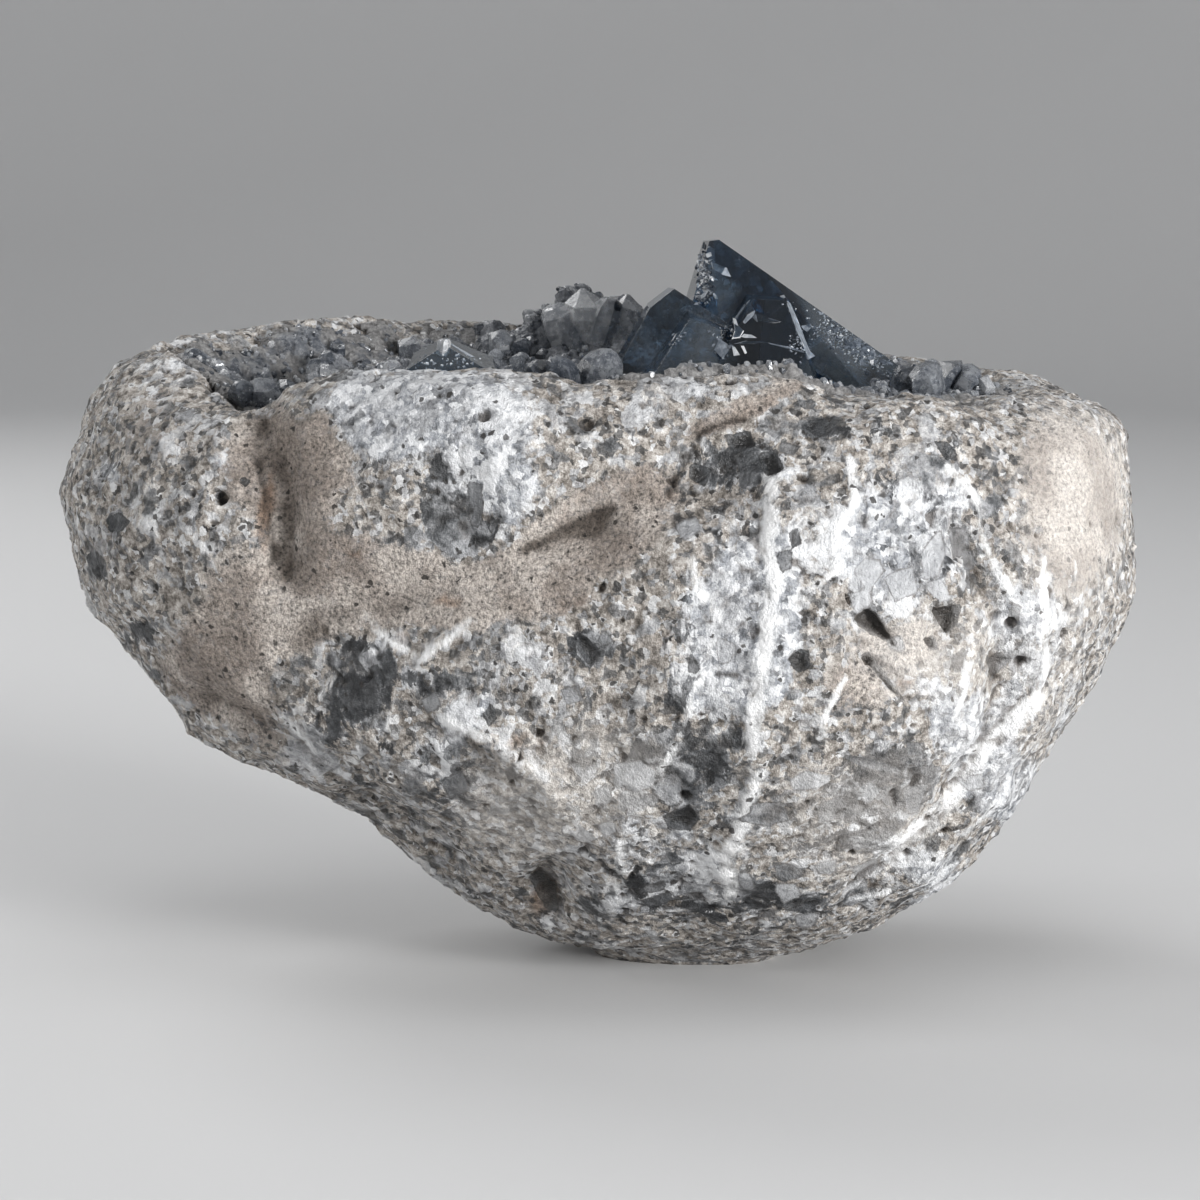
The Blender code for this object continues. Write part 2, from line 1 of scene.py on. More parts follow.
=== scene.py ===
"""The looks of a celestite geode: its grainy stone, the crystals that line its hollow, and its light.

Lengths are in millimetres, unless a comment says pixels or metres, in the frame of the solids: +X to the
right, +Y away from the camera, +Z up, and the origin below the middle of the geode.
"""

import math
import random

import bmesh
import bpy
import numpy as np
from mathutils import Matrix, Vector, noise
from mathutils.bvhtree import BVHTree


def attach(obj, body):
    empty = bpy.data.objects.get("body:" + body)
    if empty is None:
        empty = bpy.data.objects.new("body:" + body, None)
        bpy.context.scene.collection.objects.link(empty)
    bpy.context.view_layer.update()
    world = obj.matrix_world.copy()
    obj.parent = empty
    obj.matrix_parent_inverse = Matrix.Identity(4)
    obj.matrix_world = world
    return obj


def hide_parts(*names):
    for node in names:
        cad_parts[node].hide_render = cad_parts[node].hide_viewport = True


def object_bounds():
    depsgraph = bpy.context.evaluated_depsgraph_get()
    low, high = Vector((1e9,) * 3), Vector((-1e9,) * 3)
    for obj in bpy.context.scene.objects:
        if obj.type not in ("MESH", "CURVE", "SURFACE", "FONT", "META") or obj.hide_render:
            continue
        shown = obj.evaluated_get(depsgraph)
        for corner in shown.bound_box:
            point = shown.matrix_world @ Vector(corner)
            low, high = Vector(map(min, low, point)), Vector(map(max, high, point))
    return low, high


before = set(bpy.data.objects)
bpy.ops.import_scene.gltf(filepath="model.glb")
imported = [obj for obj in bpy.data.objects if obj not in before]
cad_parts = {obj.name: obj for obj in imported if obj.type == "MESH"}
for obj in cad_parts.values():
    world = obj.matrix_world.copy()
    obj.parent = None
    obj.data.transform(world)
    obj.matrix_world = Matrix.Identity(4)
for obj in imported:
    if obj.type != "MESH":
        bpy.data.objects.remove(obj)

MM = 0.001
SEED = 6378

# The camera: where it looks, how far away it is and how high over the horizon.
CAMERA_TARGET = Vector((0.1, 1.25, 66.5)) * MM
CAMERA_DISTANCE = 620 * MM
CAMERA_ELEVATION = 7.0
VIEW_WIDTH = 222.6 * MM  # the width of the picture at the target
SENSOR_WIDTH = 36.0
PICTURE = 1200  # pixels across and down in the picture that the tables of the front were read from
TILT = math.radians(CAMERA_ELEVATION)
CAMERA_BACK = (0.0, -math.cos(TILT), math.sin(TILT))
CAMERA_UP = (0.0, math.sin(TILT), math.cos(TILT))

# What the stone's front is made of, in pixels of the 1200-pixel picture:
# across, down, reach across, reach down, turn in degrees, strength.
CLAY_FRONT = (
    (290, 468, 62, 62, 0, 1.1),
    (330, 585, 115, 52, 0, 1.1),
    (245, 640, 75, 55, 25, 0.8),
    (470, 595, 85, 32, -8, 0.9),
    (600, 540, 105, 40, 28, 1.0),
    (600, 500, 70, 22, 25, 0.7),
    (740, 408, 85, 14, 24, 0.9),
    (1075, 500, 60, 105, 0, 0.85),
    (215, 700, 80, 36, -32, 0.4),
    (150, 440, 50, 60, 0, 0.45),
    (900, 640, 55, 26, 0, 0.7),
    (850, 700, 50, 34, 0, 0.5),
    (520, 560, 50, 20, 10, 0.5),
)
WHITE_FRONT = (
    (440, 410, 82, 42, 0, 1.1),
    (500, 470, 32, 56, 0, 0.9),
    (375, 425, 40, 50, 0, 0.7),
    (620, 400, 95, 20, 8, 0.3),
    (725, 650, 50, 90, 0, 0.5),
    (890, 540, 78, 62, 0, 1.0),
    (750, 630, 62, 70, 0, 0.8),
    (760, 560, 40, 90, 0, 0.5),
    (700, 840, 80, 50, 0, 0.35),
    (460, 730, 90, 26, 30, 0.5),
    (1030, 640, 40, 110, 0, 0.6),
    (1000, 780, 34, 120, 38, 1.0),
    (920, 870, 80, 26, -30, 0.7),
    (600, 860, 70, 50, 0, 0.35),
    (180, 366, 60, 18, 0, 0.5),
    (225, 468, 14, 11, 0, 0.9),
    (312, 554, 16, 8, 20, 0.8),
    (108, 470, 15, 14, 0, 0.7),
    (160, 394, 14, 8, 0, 0.7),
    (566, 540, 10, 9, 0, 0.5),
    (602, 540, 12, 14, 40, 0.9),
    (390, 640, 50, 14, 20, 0.6),
    (1060, 400, 60, 24, 0, 0.4),
)
GLASS_FRONT = (
    (452, 498, 25, 46, 0, 1.5),
    (470, 535, 26, 14, 10, 1.0),
    (735, 465, 58, 34, -18, 0.7),
    (825, 430, 30, 14, 0, 0.8),
    (880, 790, 72, 50, 20, 0.75),
    (690, 770, 50, 55, 0, 0.75),
    (700, 890, 110, 42, 0, 0.5),
    (590, 650, 26, 22, 0, 0.9),
    (480, 640, 40, 20, 0, 0.4),
    (360, 680, 50, 34, 0, 0.8),
    (330, 730, 50, 22, 20, 0.6),
    (440, 790, 60, 26, 40, 0.5),
    (430, 680, 24, 16, 0, 0.6),
    (117, 522, 12, 10, 0, 1.2),
    (147, 632, 30, 18, 20, 0.7),
    (95, 560, 10, 12, 0, 0.7),
    (205, 500, 22, 16, 0, 0.4),
    (945, 455, 24, 14, 40, 0.6),
    (940, 545, 30, 45, 0, 0.35),
    (640, 750, 40, 20, 30, 0.4),
    (800, 900, 60, 20, -10, 0.4),
)
# Paler patches: partly the stone's own paler colour, partly painted light where the lamps fall most, on the
# right end and the lower front.
PALE_AND_PAINTED_LIGHT_FRONT = (
    (1080, 500, 70, 130, 0, 0.9),
    (1000, 700, 110, 150, 30, 0.6),
    (600, 500, 66, 22, 25, 0.55),
    (900, 650, 70, 50, 0, 0.5),
    (760, 600, 90, 90, 0, 0.4),
    (536, 803, 12, 10, 0, 0.8),
    (560, 900, 40, 14, 20, 0.4),
    (560, 790, 130, 80, 20, 0.95),
    (850, 820, 100, 80, 0, 0.8),
)
BROWN_FRONT = (
    (745, 408, 80, 13, 24, 0.5),
    (268, 505, 9, 46, -6, 1.0),
    (262, 420, 30, 22, 0, 0.35),
    (350, 480, 12, 50, 0, 0.3),
    (361, 560, 13, 8, 0, 0.8),
    (450, 596, 16, 8, 0, 0.8),
    (404, 635, 14, 14, 0, 0.6),
    (519, 742, 15, 9, 30, 0.9),
    (542, 744, 5, 7, 0, 0.7),
    (905, 682, 10, 7, 0, 1.2),
    (655, 640, 45, 22, 20, 0.4),
    (570, 605, 40, 14, 20, 0.5),
    (672, 500, 30, 18, 30, 0.5),
    (980, 512, 10, 14, 0, 0.5),
    (545, 895, 14, 24, -15, 1.2),
    (520, 700, 60, 20, 0, 0.2),
)
CLAY_BACK = (
    (350, 500, 120, 70, 15, 1.0),
    (800, 540, 90, 70, -25, 0.9),
    (1010, 460, 80, 70, 0, 0.7),
    (620, 740, 100, 60, 30, 0.8),
    (180, 610, 70, 50, -30, 0.6),
)
WHITE_BACK = (
    (540, 430, 120, 40, -8, 1.0),
    (930, 640, 50, 100, 20, 0.9),
    (480, 620, 34, 100, -12, 0.8),
    (730, 410, 70, 30, 0, 0.8),
    (250, 410, 70, 30, 10, 0.8),
    (720, 830, 80, 30, 0, 0.6),
)
GLASS_BACK = (
    (680, 620, 60, 48, 0, 0.9),
    (240, 500, 42, 42, 0, 0.7),
    (860, 780, 70, 48, 30, 0.7),
    (400, 790, 60, 42, -30, 0.6),
    (900, 400, 48, 24, 0, 0.6),
)
PALE_BACK = (
    (850, 560, 150, 120, 0, 0.6),
    (300, 650, 120, 80, 0, 0.4),
)
BROWN_BACK = (
    (420, 560, 60, 22, 10, 0.7),
    (780, 470, 70, 16, -20, 0.7),
    (620, 760, 50, 20, 30, 0.5),
)
MATERIAL_SIDES = 9.0  # over how many millimetres about y = 0 the front's pattern gives way to the back's

# White veins and worn ridges on the front: half width in pixels, strength, and the way they run.
VEINS = (
    (7, 1.0, ((772, 480), (770, 547), (776, 589), (770, 612), (765, 641), (761, 670), (757, 715))),
    (7, 1.0, (
        (757, 715), (750, 757), (756, 779), (747, 806), (739, 825), (731, 845), (727, 864), (733, 890),
    )),
    (5, 0.9, (
        (693, 540), (698, 591), (717, 612), (712, 640), (705, 670), (694, 698), (674, 743), (660, 775),
    )),
    (4, 0.9, ((851, 455), (855, 503), (837, 532), (834, 574), (809, 587))),
    (3, 0.8, ((846, 679), (829, 706), (819, 739))),
    (4, 0.7, ((705, 858), (724, 857), (747, 845))),
    (6, 0.7, ((624, 835), (620, 867), (611, 890), (609, 915))),
    (4, 0.9, ((947, 467), (978, 500), (983, 543), (1011, 593), (1025, 632), (1027, 668))),
    (4, 0.9, ((1042, 560), (1045, 599), (1045, 646), (1048, 700))),
    (8, 1.0, ((1046, 695), (1016, 716), (984, 744), (970, 772), (945, 808), (899, 846))),
    (3, 0.8, ((969, 655), (963, 697), (951, 721))),
    (5, 1.0, ((430, 700), (440, 718), (471, 732), (498, 742), (517, 763), (548, 776))),
    (4, 0.8, ((366, 615), (380, 632), (395, 646), (422, 659), (441, 642), (470, 622))),
    (3, 0.6, ((338, 670), (320, 698), (309, 719))),
    (4, 0.7, ((281, 716), (291, 724), (318, 761), (353, 763))),
    (3, 0.7, ((450, 797), (471, 826))),
    (3, 0.6, ((395, 700), (386, 736))),
    (6, 0.7, ((536, 707), (550, 694))),
    (3, 0.6, ((1075, 560), (1083, 640), (1070, 720))),
    (3, 0.6, ((1100, 600), (1098, 680))),
    (4, 0.5, ((120, 372), (170, 360), (215, 352))),
    (3, 0.5, ((130, 386), (180, 374), (225, 368))),
    (4, 0.7, ((850, 905), (900, 885), (950, 850), (1000, 800))),
    (3, 0.6, ((880, 480), (905, 500), (900, 540))),
)
# Dark seams and cracks of the front, in the same way.
SEAMS = (
    (2.2, 0.9, ((667, 494), (685, 465), (701, 433), (720, 424), (745, 419))),
    (1.6, 0.8, ((672, 531), (676, 518), (701, 511))),
    (2.6, 0.5, ((527, 549), (545, 540), (564, 529), (590, 518), (612, 508))),
    (2.2, 0.9, ((804, 830), (813, 818), (822, 803))),
    (2.4, 0.9, ((800, 806), (815, 799), (831, 788))),
    (1.6, 0.7, ((620, 896), (640, 892), (660, 886))),
    (1.8, 0.7, ((670, 905), (685, 900), (702, 897))),
    (1.4, 0.6, ((732, 928), (760, 918), (778, 908))),
    (1.6, 0.7, ((770, 848), (800, 838), (830, 832))),
    (2.2, 0.6, ((945, 812), (920, 835), (892, 857))),
    (2.0, 0.6, ((1012, 708), (990, 732), (972, 760))),
    (3.2, 0.7, ((258, 462), (264, 490), (268, 520), (274, 560))),
    (1.6, 0.8, ((862, 607), (878, 622), (894, 646))),
    (1.4, 0.8, ((868, 655), (888, 668), (905, 700))),
    (1.4, 0.8, ((876, 657), (897, 672), (910, 697))),
    (1.4, 0.7, ((934, 605), (950, 632))),
    (2.0, 0.5, ((300, 745), (330, 775), (372, 800))),
    (2.4, 0.7, ((548, 872), (556, 890), (560, 915))),
    (1.6, 0.6, ((588, 668), (598, 655), (606, 645))),
)
# Tones of spar, from black at 0 to white at 1.
BLACK, SMOKY, GREY, PALE, MILKY, WHITE = 0.12, 0.25, 0.43, 0.60, 0.74, 0.95
# Flat-sided crystals and their empty seats in the front: tone, depth in millimetres and corners in pixels.
# The dark tones of the deep seats are partly the spar's own colour and partly painted shade in their hollows.
SEATS = (
    (BLACK, 2.2, ((851, 621), (874, 606), (894, 646), (868, 633))),
    (BLACK, 2.0, ((930, 609), (962, 603), (957, 625), (948, 636))),
    (SMOKY, 1.0, ((922, 638), (936, 634), (939, 650), (930, 652))),
    (BLACK, 1.6, ((856, 652), (869, 652), (906, 702), (890, 690))),
    (BLACK, 1.2, ((787, 660), (797, 648), (809, 650), (812, 669), (798, 674))),
    (GREY, 0.4, ((984, 659), (1002, 651), (1008, 663), (993, 677))),
    (GREY, 0.4, ((774, 560), (780, 551), (793, 552), (793, 567), (783, 573))),
    (SMOKY, 0.6, ((788, 532), (799, 524), (801, 544), (791, 550))),
    (SMOKY, 0.5, ((934, 441), (949, 441), (961, 461), (946, 461))),
    (SMOKY, 0.6, ((804, 427), (815, 422), (833, 430), (819, 439))),
    (SMOKY, 1.0, ((722, 436), (750, 430), (757, 446), (735, 455))),
    (BLACK, 1.2, ((757, 455), (776, 448), (785, 470), (766, 478))),
    (SMOKY, 1.0, ((690, 460), (712, 470), (706, 488), (688, 480))),
    (BLACK, 1.2, ((706, 773), (713, 770), (715, 787), (706, 788))),
    (BLACK, 1.0, ((626, 878), (640, 860), (643, 868), (632, 881))),
    (SMOKY, 0.8, ((649, 738), (667, 723), (669, 729), (656, 736))),
    (SMOKY, 1.0, ((662, 815), (690, 804), (700, 820), (690, 832), (667, 830))),
    (SMOKY, 1.2, ((573, 632), (586, 637), (600, 650), (590, 668), (578, 652))),
    (SMOKY, 1.0, ((887, 790), (899, 787), (903, 809), (892, 813))),
    (SMOKY, 0.8, ((906, 768), (919, 765), (922, 779), (909, 782))),
    (GREY, 0.5, ((829, 753), (868, 757), (903, 768), (900, 776), (866, 769))),
    (GREY, 0.5, ((780, 440), (800, 446), (795, 456), (778, 452))),
    (BLACK, 0.7, ((615, 580), (623, 583), (620, 594), (611, 592))),
    (BLACK, 0.7, ((139, 458), (149, 455), (152, 463), (142, 466))),
    (SMOKY, 0.5, ((107, 516), (119, 512), (131, 522), (122, 533), (108, 530))),
    (BLACK, 0.7, ((238, 477), (247, 476), (252, 484), (242, 487))),
    (SMOKY, 0.5, ((88, 556), (97, 557), (100, 566), (91, 568))),
    (BLACK, 0.6, ((352, 774), (361, 773), (364, 781), (355, 784))),
    (BLACK, 0.7, ((505, 770), (512, 765), (517, 778), (509, 784))),
    (BLACK, 0.6, ((327, 706), (336, 700), (344, 718), (336, 728))),
    (SMOKY, 0.6, ((368, 668), (378, 664), (388, 684), (380, 690))),
    (SMOKY, 1.0, ((528, 876), (540, 868), (556, 884), (560, 914), (545, 908))),
    (GREY, 0.3, ((735, 820), (760, 806), (792, 812), (770, 828))),
    (SMOKY, 0.5, ((640, 900), (668, 890), (680, 898), (652, 910))),
    (SMOKY, 0.7, ((676, 898), (702, 892), (694, 902))),
    (GREY, 0.3, ((440, 780), (462, 770), (470, 790), (450, 800))),
    (SMOKY, 0.5, ((482, 715), (492, 700), (498, 716), (490, 728))),
    (MILKY, 0.1, ((611, 764), (641, 760), (657, 772), (653, 787), (636, 793), (617, 787))),
    (PALE, 0.2, ((655, 783), (674, 770), (683, 779), (683, 802), (670, 808), (655, 795))),
    (GREY, 0.3, ((636, 793), (655, 793), (660, 808), (647, 806))),
    (PALE, 0.1, ((592, 791), (609, 783), (613, 802), (597, 810))),
    (MILKY, 0.1, ((595, 825), (611, 820), (622, 829), (605, 839))),
    (PALE, 0.1, ((750, 802), (785, 802), (789, 822), (756, 825))),
    (MILKY, 0.1, ((789, 779), (808, 770), (831, 776), (829, 787), (793, 791))),
    (MILKY, 0.1, ((773, 883), (796, 883), (802, 896), (783, 904), (775, 892))),
    (GREY, 0.3, ((771, 862), (796, 864), (804, 877), (781, 883))),
    (GREY, 0.4, ((632, 894), (647, 883), (674, 881), (659, 892))),
    (PALE, 0.1, ((735, 873), (750, 871), (756, 890), (743, 892))),
    (MILKY, 0.1, ((762, 910), (777, 908), (770, 919))),
    (PALE, 0.1, ((794, 915), (819, 911), (815, 927), (798, 929))),
    (GREY, 0.3, ((819, 804), (840, 795), (850, 804), (834, 821), (816, 825))),
    (MILKY, 0.0, ((643, 931), (655, 929), (662, 942), (651, 940))),
    (PALE, 0.1, ((855, 788), (873, 779), (882, 792), (867, 807))),
    (GREY, 0.2, ((901, 786), (930, 783), (919, 813), (907, 815))),
    (MILKY, 0.0, ((953, 777), (984, 773), (986, 788), (968, 792))),
    (GREY, 0.2, ((905, 742), (924, 741), (926, 754), (907, 758))),
    (PALE, 0.1, ((850, 867), (880, 857), (877, 869), (857, 882))),
    (PALE, 0.1, ((815, 863), (838, 859), (834, 876), (817, 874))),
    (MILKY, 0.0, ((857, 727), (880, 729), (873, 742))),
    (MILKY, 0.0, ((851, 571), (874, 548), (885, 571), (868, 593))),
    (MILKY, 0.0, ((882, 576), (913, 565), (919, 593), (894, 602))),
    (MILKY, 0.1, ((919, 554), (941, 526), (947, 554), (938, 576), (924, 582))),
    (PALE, 0.1, ((947, 526), (969, 529), (969, 554), (953, 560))),
    (PALE, 0.3, ((961, 548), (972, 551), (975, 571), (964, 571))),
    (MILKY, 0.0, ((922, 585), (941, 576), (953, 599), (939, 604))),
    (MILKY, 0.0, ((846, 593), (868, 588), (874, 604), (857, 616))),
    (MILKY, 0.0, ((713, 635), (736, 643), (738, 660), (719, 666))),
    (GREY, 0.2, ((686, 673), (690, 660), (700, 660), (698, 675))),
    (PALE, 0.2, ((746, 603), (759, 602), (764, 610), (752, 613))),
    (PALE, 0.1, ((673, 524), (698, 515), (702, 530), (682, 543))),
    (PALE, 0.2, ((604, 627), (615, 643), (593, 650))),
    (GREY, 0.3, ((467, 481), (483, 481), (483, 527), (470, 527))),
    (PALE, 0.1, ((420, 700), (436, 690), (442, 706), (428, 716))),
    (PALE, 0.1, ((560, 690), (578, 684), (584, 700), (566, 706))),
    (PALE, 0.1, ((884, 640), (900, 634), (908, 648), (894, 654))),
    (PALE, 0.1, ((1010, 600), (1022, 606), (1018, 622), (1006, 616))),
)

# Painted reflections on the large crystals: pale pieces whose colour stands in for the light that broken
# faces throw back. Tone and corners in pixels.
PAINTED_REFLECTIONS = (
    (PALE, ((747, 303), (750, 300), (755, 311), (754, 315), (745, 324), (743, 322), (747, 316))),
    (SMOKY, ((755, 314), (769, 318), (781, 322), (769, 323), (757, 322), (753, 318))),
    (WHITE, ((733, 318), (736, 319), (738, 325), (744, 331), (740, 338), (732, 339), (735, 331), (734, 323))),
    (MILKY, ((744, 334), (752, 335), (757, 338), (746, 338), (741, 337))),
    (PALE, ((734, 344), (746, 341), (769, 343), (754, 344), (743, 344))),
    (MILKY, ((732, 346), (735, 347), (740, 355), (734, 356))),
    (WHITE, ((741, 346), (744, 346), (747, 353), (745, 354))),
    (GREY, ((714, 350), (719, 339), (728, 344), (729, 350), (723, 359))),
    (GREY, ((735, 318), (745, 304), (746, 305), (737, 319))),
    (MILKY, ((780, 296), (784, 295), (789, 303), (787, 302))),
    (PALE, ((787, 303), (790, 303), (799, 323), (806, 342), (810, 351), (815, 356), (809, 359), (796, 328))),
    (GREY, ((801, 326), (810, 324), (812, 327), (807, 332), (803, 329))),
    (SMOKY, ((769, 343), (790, 347), (804, 352), (804, 353), (790, 349), (769, 344))),
    (PALE, ((711, 262), (727, 268), (731, 277), (723, 275), (713, 269))),
    (GREY, ((672, 341), (676, 334), (690, 328), (688, 331), (679, 337))),
    (MILKY, ((706, 254), (711, 252), (712, 256), (707, 258))),
    (MILKY, ((699, 297), (708, 290), (709, 293), (702, 299))),
    (WHITE, ((697, 284), (703, 281), (703, 284), (698, 288))),
    (PALE, ((441, 343), (446, 341), (474, 357), (470, 357))),
)
# Where fine broken spar sits on the large crystals: middle and reach in pixels, turn, how many pieces,
# their size in millimetres, how much longer than wide they are and their tone.
CRUMBS = (
    ((703, 275), (8, 26), 12, 90, (0.25, 0.7), 3.4, MILKY),
    ((704, 275), (9, 27), 12, 60, (0.4, 1.1), 2.4, SMOKY),
    ((700, 300), (9, 6), 0, 26, (0.3, 0.8), 2.0, PALE),
    ((862, 350), (50, 13), -38, 90, (0.6, 1.6), 1.8, SMOKY),
    ((858, 348), (54, 14), -38, 420, (0.12, 0.42), 1.7, PALE),
    ((828, 334), (20, 9), -20, 110, (0.12, 0.40), 1.7, GREY),
    ((800, 345), (12, 14), -20, 60, (0.15, 0.5), 1.7, GREY),
    ((722, 345), (9, 12), 20, 50, (0.3, 0.9), 1.8, GREY),
    ((728, 328), (6, 8), 20, 14, (0.2, 0.5), 1.8, PALE),
    ((745, 265), (34, 14), -38, 14, (0.12, 0.3), 1.3, GREY),
    ((680, 337), (12, 6), 30, 24, (0.2, 0.6), 2.2, GREY),
    ((450, 362), (44, 8), 0, 60, (0.2, 0.6), 1.3, PALE),
)
# Where the large crystals are hazy, and where painted shade makes them darkest because little light comes
# through them there, as patches of the picture.
HAZE_FRONT = (
    (728, 315, 34, 26, 0, 0.9),
    (800, 306, 50, 13, -38, 0.55),
    (848, 345, 52, 20, -38, 1.0),
    (645, 350, 16, 40, 30, 0.6),
    (700, 350, 26, 18, 0, 0.5),
    (447, 356, 60, 16, 0, 0.5),
)
PAINTED_SHADE_ON_CRYSTALS = (
    (768, 325, 32, 34, 0, 2.4),
    (735, 262, 40, 13, -38, 0.5),
)
# Small crystals of the hollow that stand out: the pixel where each stands, its width and height in
# millimetres, tone, and its lean to the right and towards the camera.
CHOSEN = (
    (566, 330, 10.0, 5.5, PALE, -0.4, 0.2),
    (586, 324, 11.0, 6.5, MILKY, 0.0, 0.3),
    (604, 322, 8.0, 5.0, PALE, 0.3, 0.1),
    (611, 316, 4.4, 3.8, BLACK, 0.1, 0.7),
    (628, 322, 8.0, 5.0, GREY, 0.3, 0.1),
    (547, 378, 5.0, 4.0, BLACK, -0.8, 0.3),
    (563, 380, 7.0, 4.6, SMOKY, -0.2, 0.4),
    (581, 376, 6.0, 3.4, GREY, -0.3, 0.5),
    (598, 376, 8.5, 5.4, GREY, 0.3, 0.4),
    (444, 346, 2.6, 1.3, MILKY, 0.1, 0.1),
    (412, 352, 7.0, 3.2, GREY, -0.3, 0.3),
    (243, 396, 5.5, 3.2, SMOKY, -0.4, 0.5),
    (263, 399, 7.0, 4.0, GREY, 0.1, 0.6),
    (283, 398, 5.0, 3.4, SMOKY, 0.5, 0.4),
    (337, 352, 3.4, 2.6, SMOKY, 0.1, 0.3),
    (500, 346, 5.5, 2.8, GREY, 0.1, 0.5),
    (522, 350, 5.5, 2.6, SMOKY, 0.3, 0.5),
    (905, 380, 5.5, 2.6, SMOKY, 0.4, 0.3),
    (925, 380, 7.0, 3.2, GREY, -0.3, 0.6),
    (948, 378, 8.5, 3.8, SMOKY, 0.2, 0.5),
    (966, 384, 6.0, 3.2, GREY, 0.5, 0.5),
    (985, 388, 5.0, 2.2, MILKY, 0.5, 0.8),
)
# Where shade is painted on the crust of the hollow, darker where the rim and the dark crystals shadow it, as
# patches of the picture.
PAINTED_SHADE_ON_CRUST = (
    (262, 388, 44, 18, 0, 0.7),
    (520, 345, 60, 14, 0, 0.5),
    (570, 372, 40, 14, 0, 0.6),
    (940, 375, 60, 20, 0, 0.6),
)

SEAT_LIMIT = 12.0  # how far from a seat's outline places are told apart, in pixels
SEAT_WALL = 5.0  # how many pixels inside its outline a seat reaches its depth
GOLDEN_TURN = 0.381966  # the share of a turn from one seat's slant to the next one's
FRONT_PIXEL = 0.175  # the width of a pixel on the stone's front, in millimetres
CRUST_GRID = 0.85  # the cell, in millimetres, of the crust's mesh
CRUST_TRIANGLES = 90000
STONE_GRID = 0.86  # the cell, in millimetres, of the mesh that the grain is cut into
STONE_TRIANGLES = 196000
ROUNDING = 8  # how often the solid's flat faces are smoothed before the grain goes on
# Angular grains that shape a surface: size and height in millimetres, and a number that sets their pattern.
STONE_GRAINS = ((6.5, 0.50, 1), (3.8, 0.50, 2), (2.0, 0.34, 6))
CRUST_GRAINS = ((6.0, 1.5, 31), (3.0, 0.9, 32), (1.7, 0.45, 33))
# Grains of spar that only colour the stone: name, size and pattern.
STONE_SPAR = (("broad", 7.5, 8), ("large", 3.8, 2), ("small", 2.0, 6))
# Round pits: spacing, share of the places that have one, depth and pattern.
STONE_PITS = ((5.5, 0.16, 1.5, 4), (3.0, 0.16, 0.8, 5))
FLAT_FOOT = 0.6  # below this height, in millimetres, the stone stays flat
FOOT_BLEND = 2.5  # and over this much more its grain sets in
RIM_WIDTH = 7.0  # how wide the finer border of the crust is
WORN_EDGE = 0.4  # the width of the worn edges of the large crystals, in millimetres
LEAST_BEND = 12  # edges that bend less than this many degrees aren't worn
LONGEST_SIDE = 2.2  # longer triangle sides on the large crystals are halved, in millimetres
HALVINGS = 5  # how often a side of the large crystals can be halved
STONE_GAP = 0.03  # how far, in millimetres, the stone stays inside the solids' box
CRYSTAL_GAP = 0.02  # and the large crystals
WELD_DISTANCE = 0.00001  # in metres
RELIEF_SPREAD = 12  # over how many rings of neighbours the relief is measured
# Where small crystals are strewn: reach to each side across and deep, and the step between two of them.
STREWN = (82, 50), 2.4
FINE_STREWN = (88, 56), 1.5
DROP_HEIGHT = 160  # above the whole geode
BARE_RIM = 3.5  # the strewn crystals that stand out stay this far from the stone
# The flashes are painted reflections.
FLASH_DEPTH, FLASH_HEIGHT = 0.10, 0.08  # how far a flash reaches into its crystal and out of it
SPAR_IOR = 1.62

# The floor and its curved backdrop, in metres.
FLOOR_REACH = 1.6
BACKDROP_CURVE = 0.9
BACKDROP_TOP = 2.6
CURVE_STEPS = 12
FLOOR_SIDES = 96

# Lamps: name, azimuth, elevation, distance and side in metres, power in watts.
LAMPS = (
    ("key", 48, 9, 1.35, 0.42, 23.5),
    ("fill", -50, 12, 1.4, 0.8, 4.5),
    ("left strip", -92, 26, 1.2, 0.25, 1.6),
    ("top", 20, 78, 1.3, 0.7, 2.2),
    ("back", -140, 40, 1.4, 0.7, 7.0),
)
LIT_POINT = Vector((0, 0, 0.07))  # what the lamps look at, in metres


def smooth_step(x):
    x = np.clip(x, 0.0, 1.0)
    return x * x * (3 - 2 * x)


def mesh_points(mesh):
    """A mesh's points in millimetres."""
    values = np.empty(len(mesh.vertices) * 3)
    mesh.vertices.foreach_get("co", values)
    return values.reshape(-1, 3) / MM


def mesh_normals(mesh):
    values = np.empty(len(mesh.vertices) * 3)
    mesh.vertex_normals.foreach_get("vector", values)
    return values.reshape(-1, 3)


def place_points(mesh, points):
    mesh.vertices.foreach_set("co", (points * MM).ravel())
    mesh.update()


def set_values(mesh, name, values):
    """Keeps one number for each point, for the material to read."""
    attribute = mesh.attributes.new(name, "FLOAT", "POINT")
    attribute.data.foreach_set("value", np.asarray(values, np.float32))


def fractal(points, wavelength, octaves, offset=0.0):
    """Soft noise, about -1 to 1, whose widest waves have that wavelength."""
    places = points / wavelength + offset
    return np.array([noise.fractal(place, 0.75, 2.1, octaves) for place in places.tolist()])


def random_of_cells(cells, salt):
    """Three even random numbers for each whole-numbered cell."""
    numbers = []
    x, y, z = cells.astype(np.int64).T
    for turn in range(3):
        mixed = (x * 73856093) ^ (y * 19349663) ^ (z * 83492791) ^ (salt * 7919 + turn * 104729)
        mixed = mixed & 0xFFFFFFFF
        for _ in range(3):
            mixed = ((mixed ^ (mixed >> 15)) * 2246822519) & 0xFFFFFFFF
        numbers.append((mixed ^ (mixed >> 16)) / 0xFFFFFFFF)
    return np.column_stack(numbers)


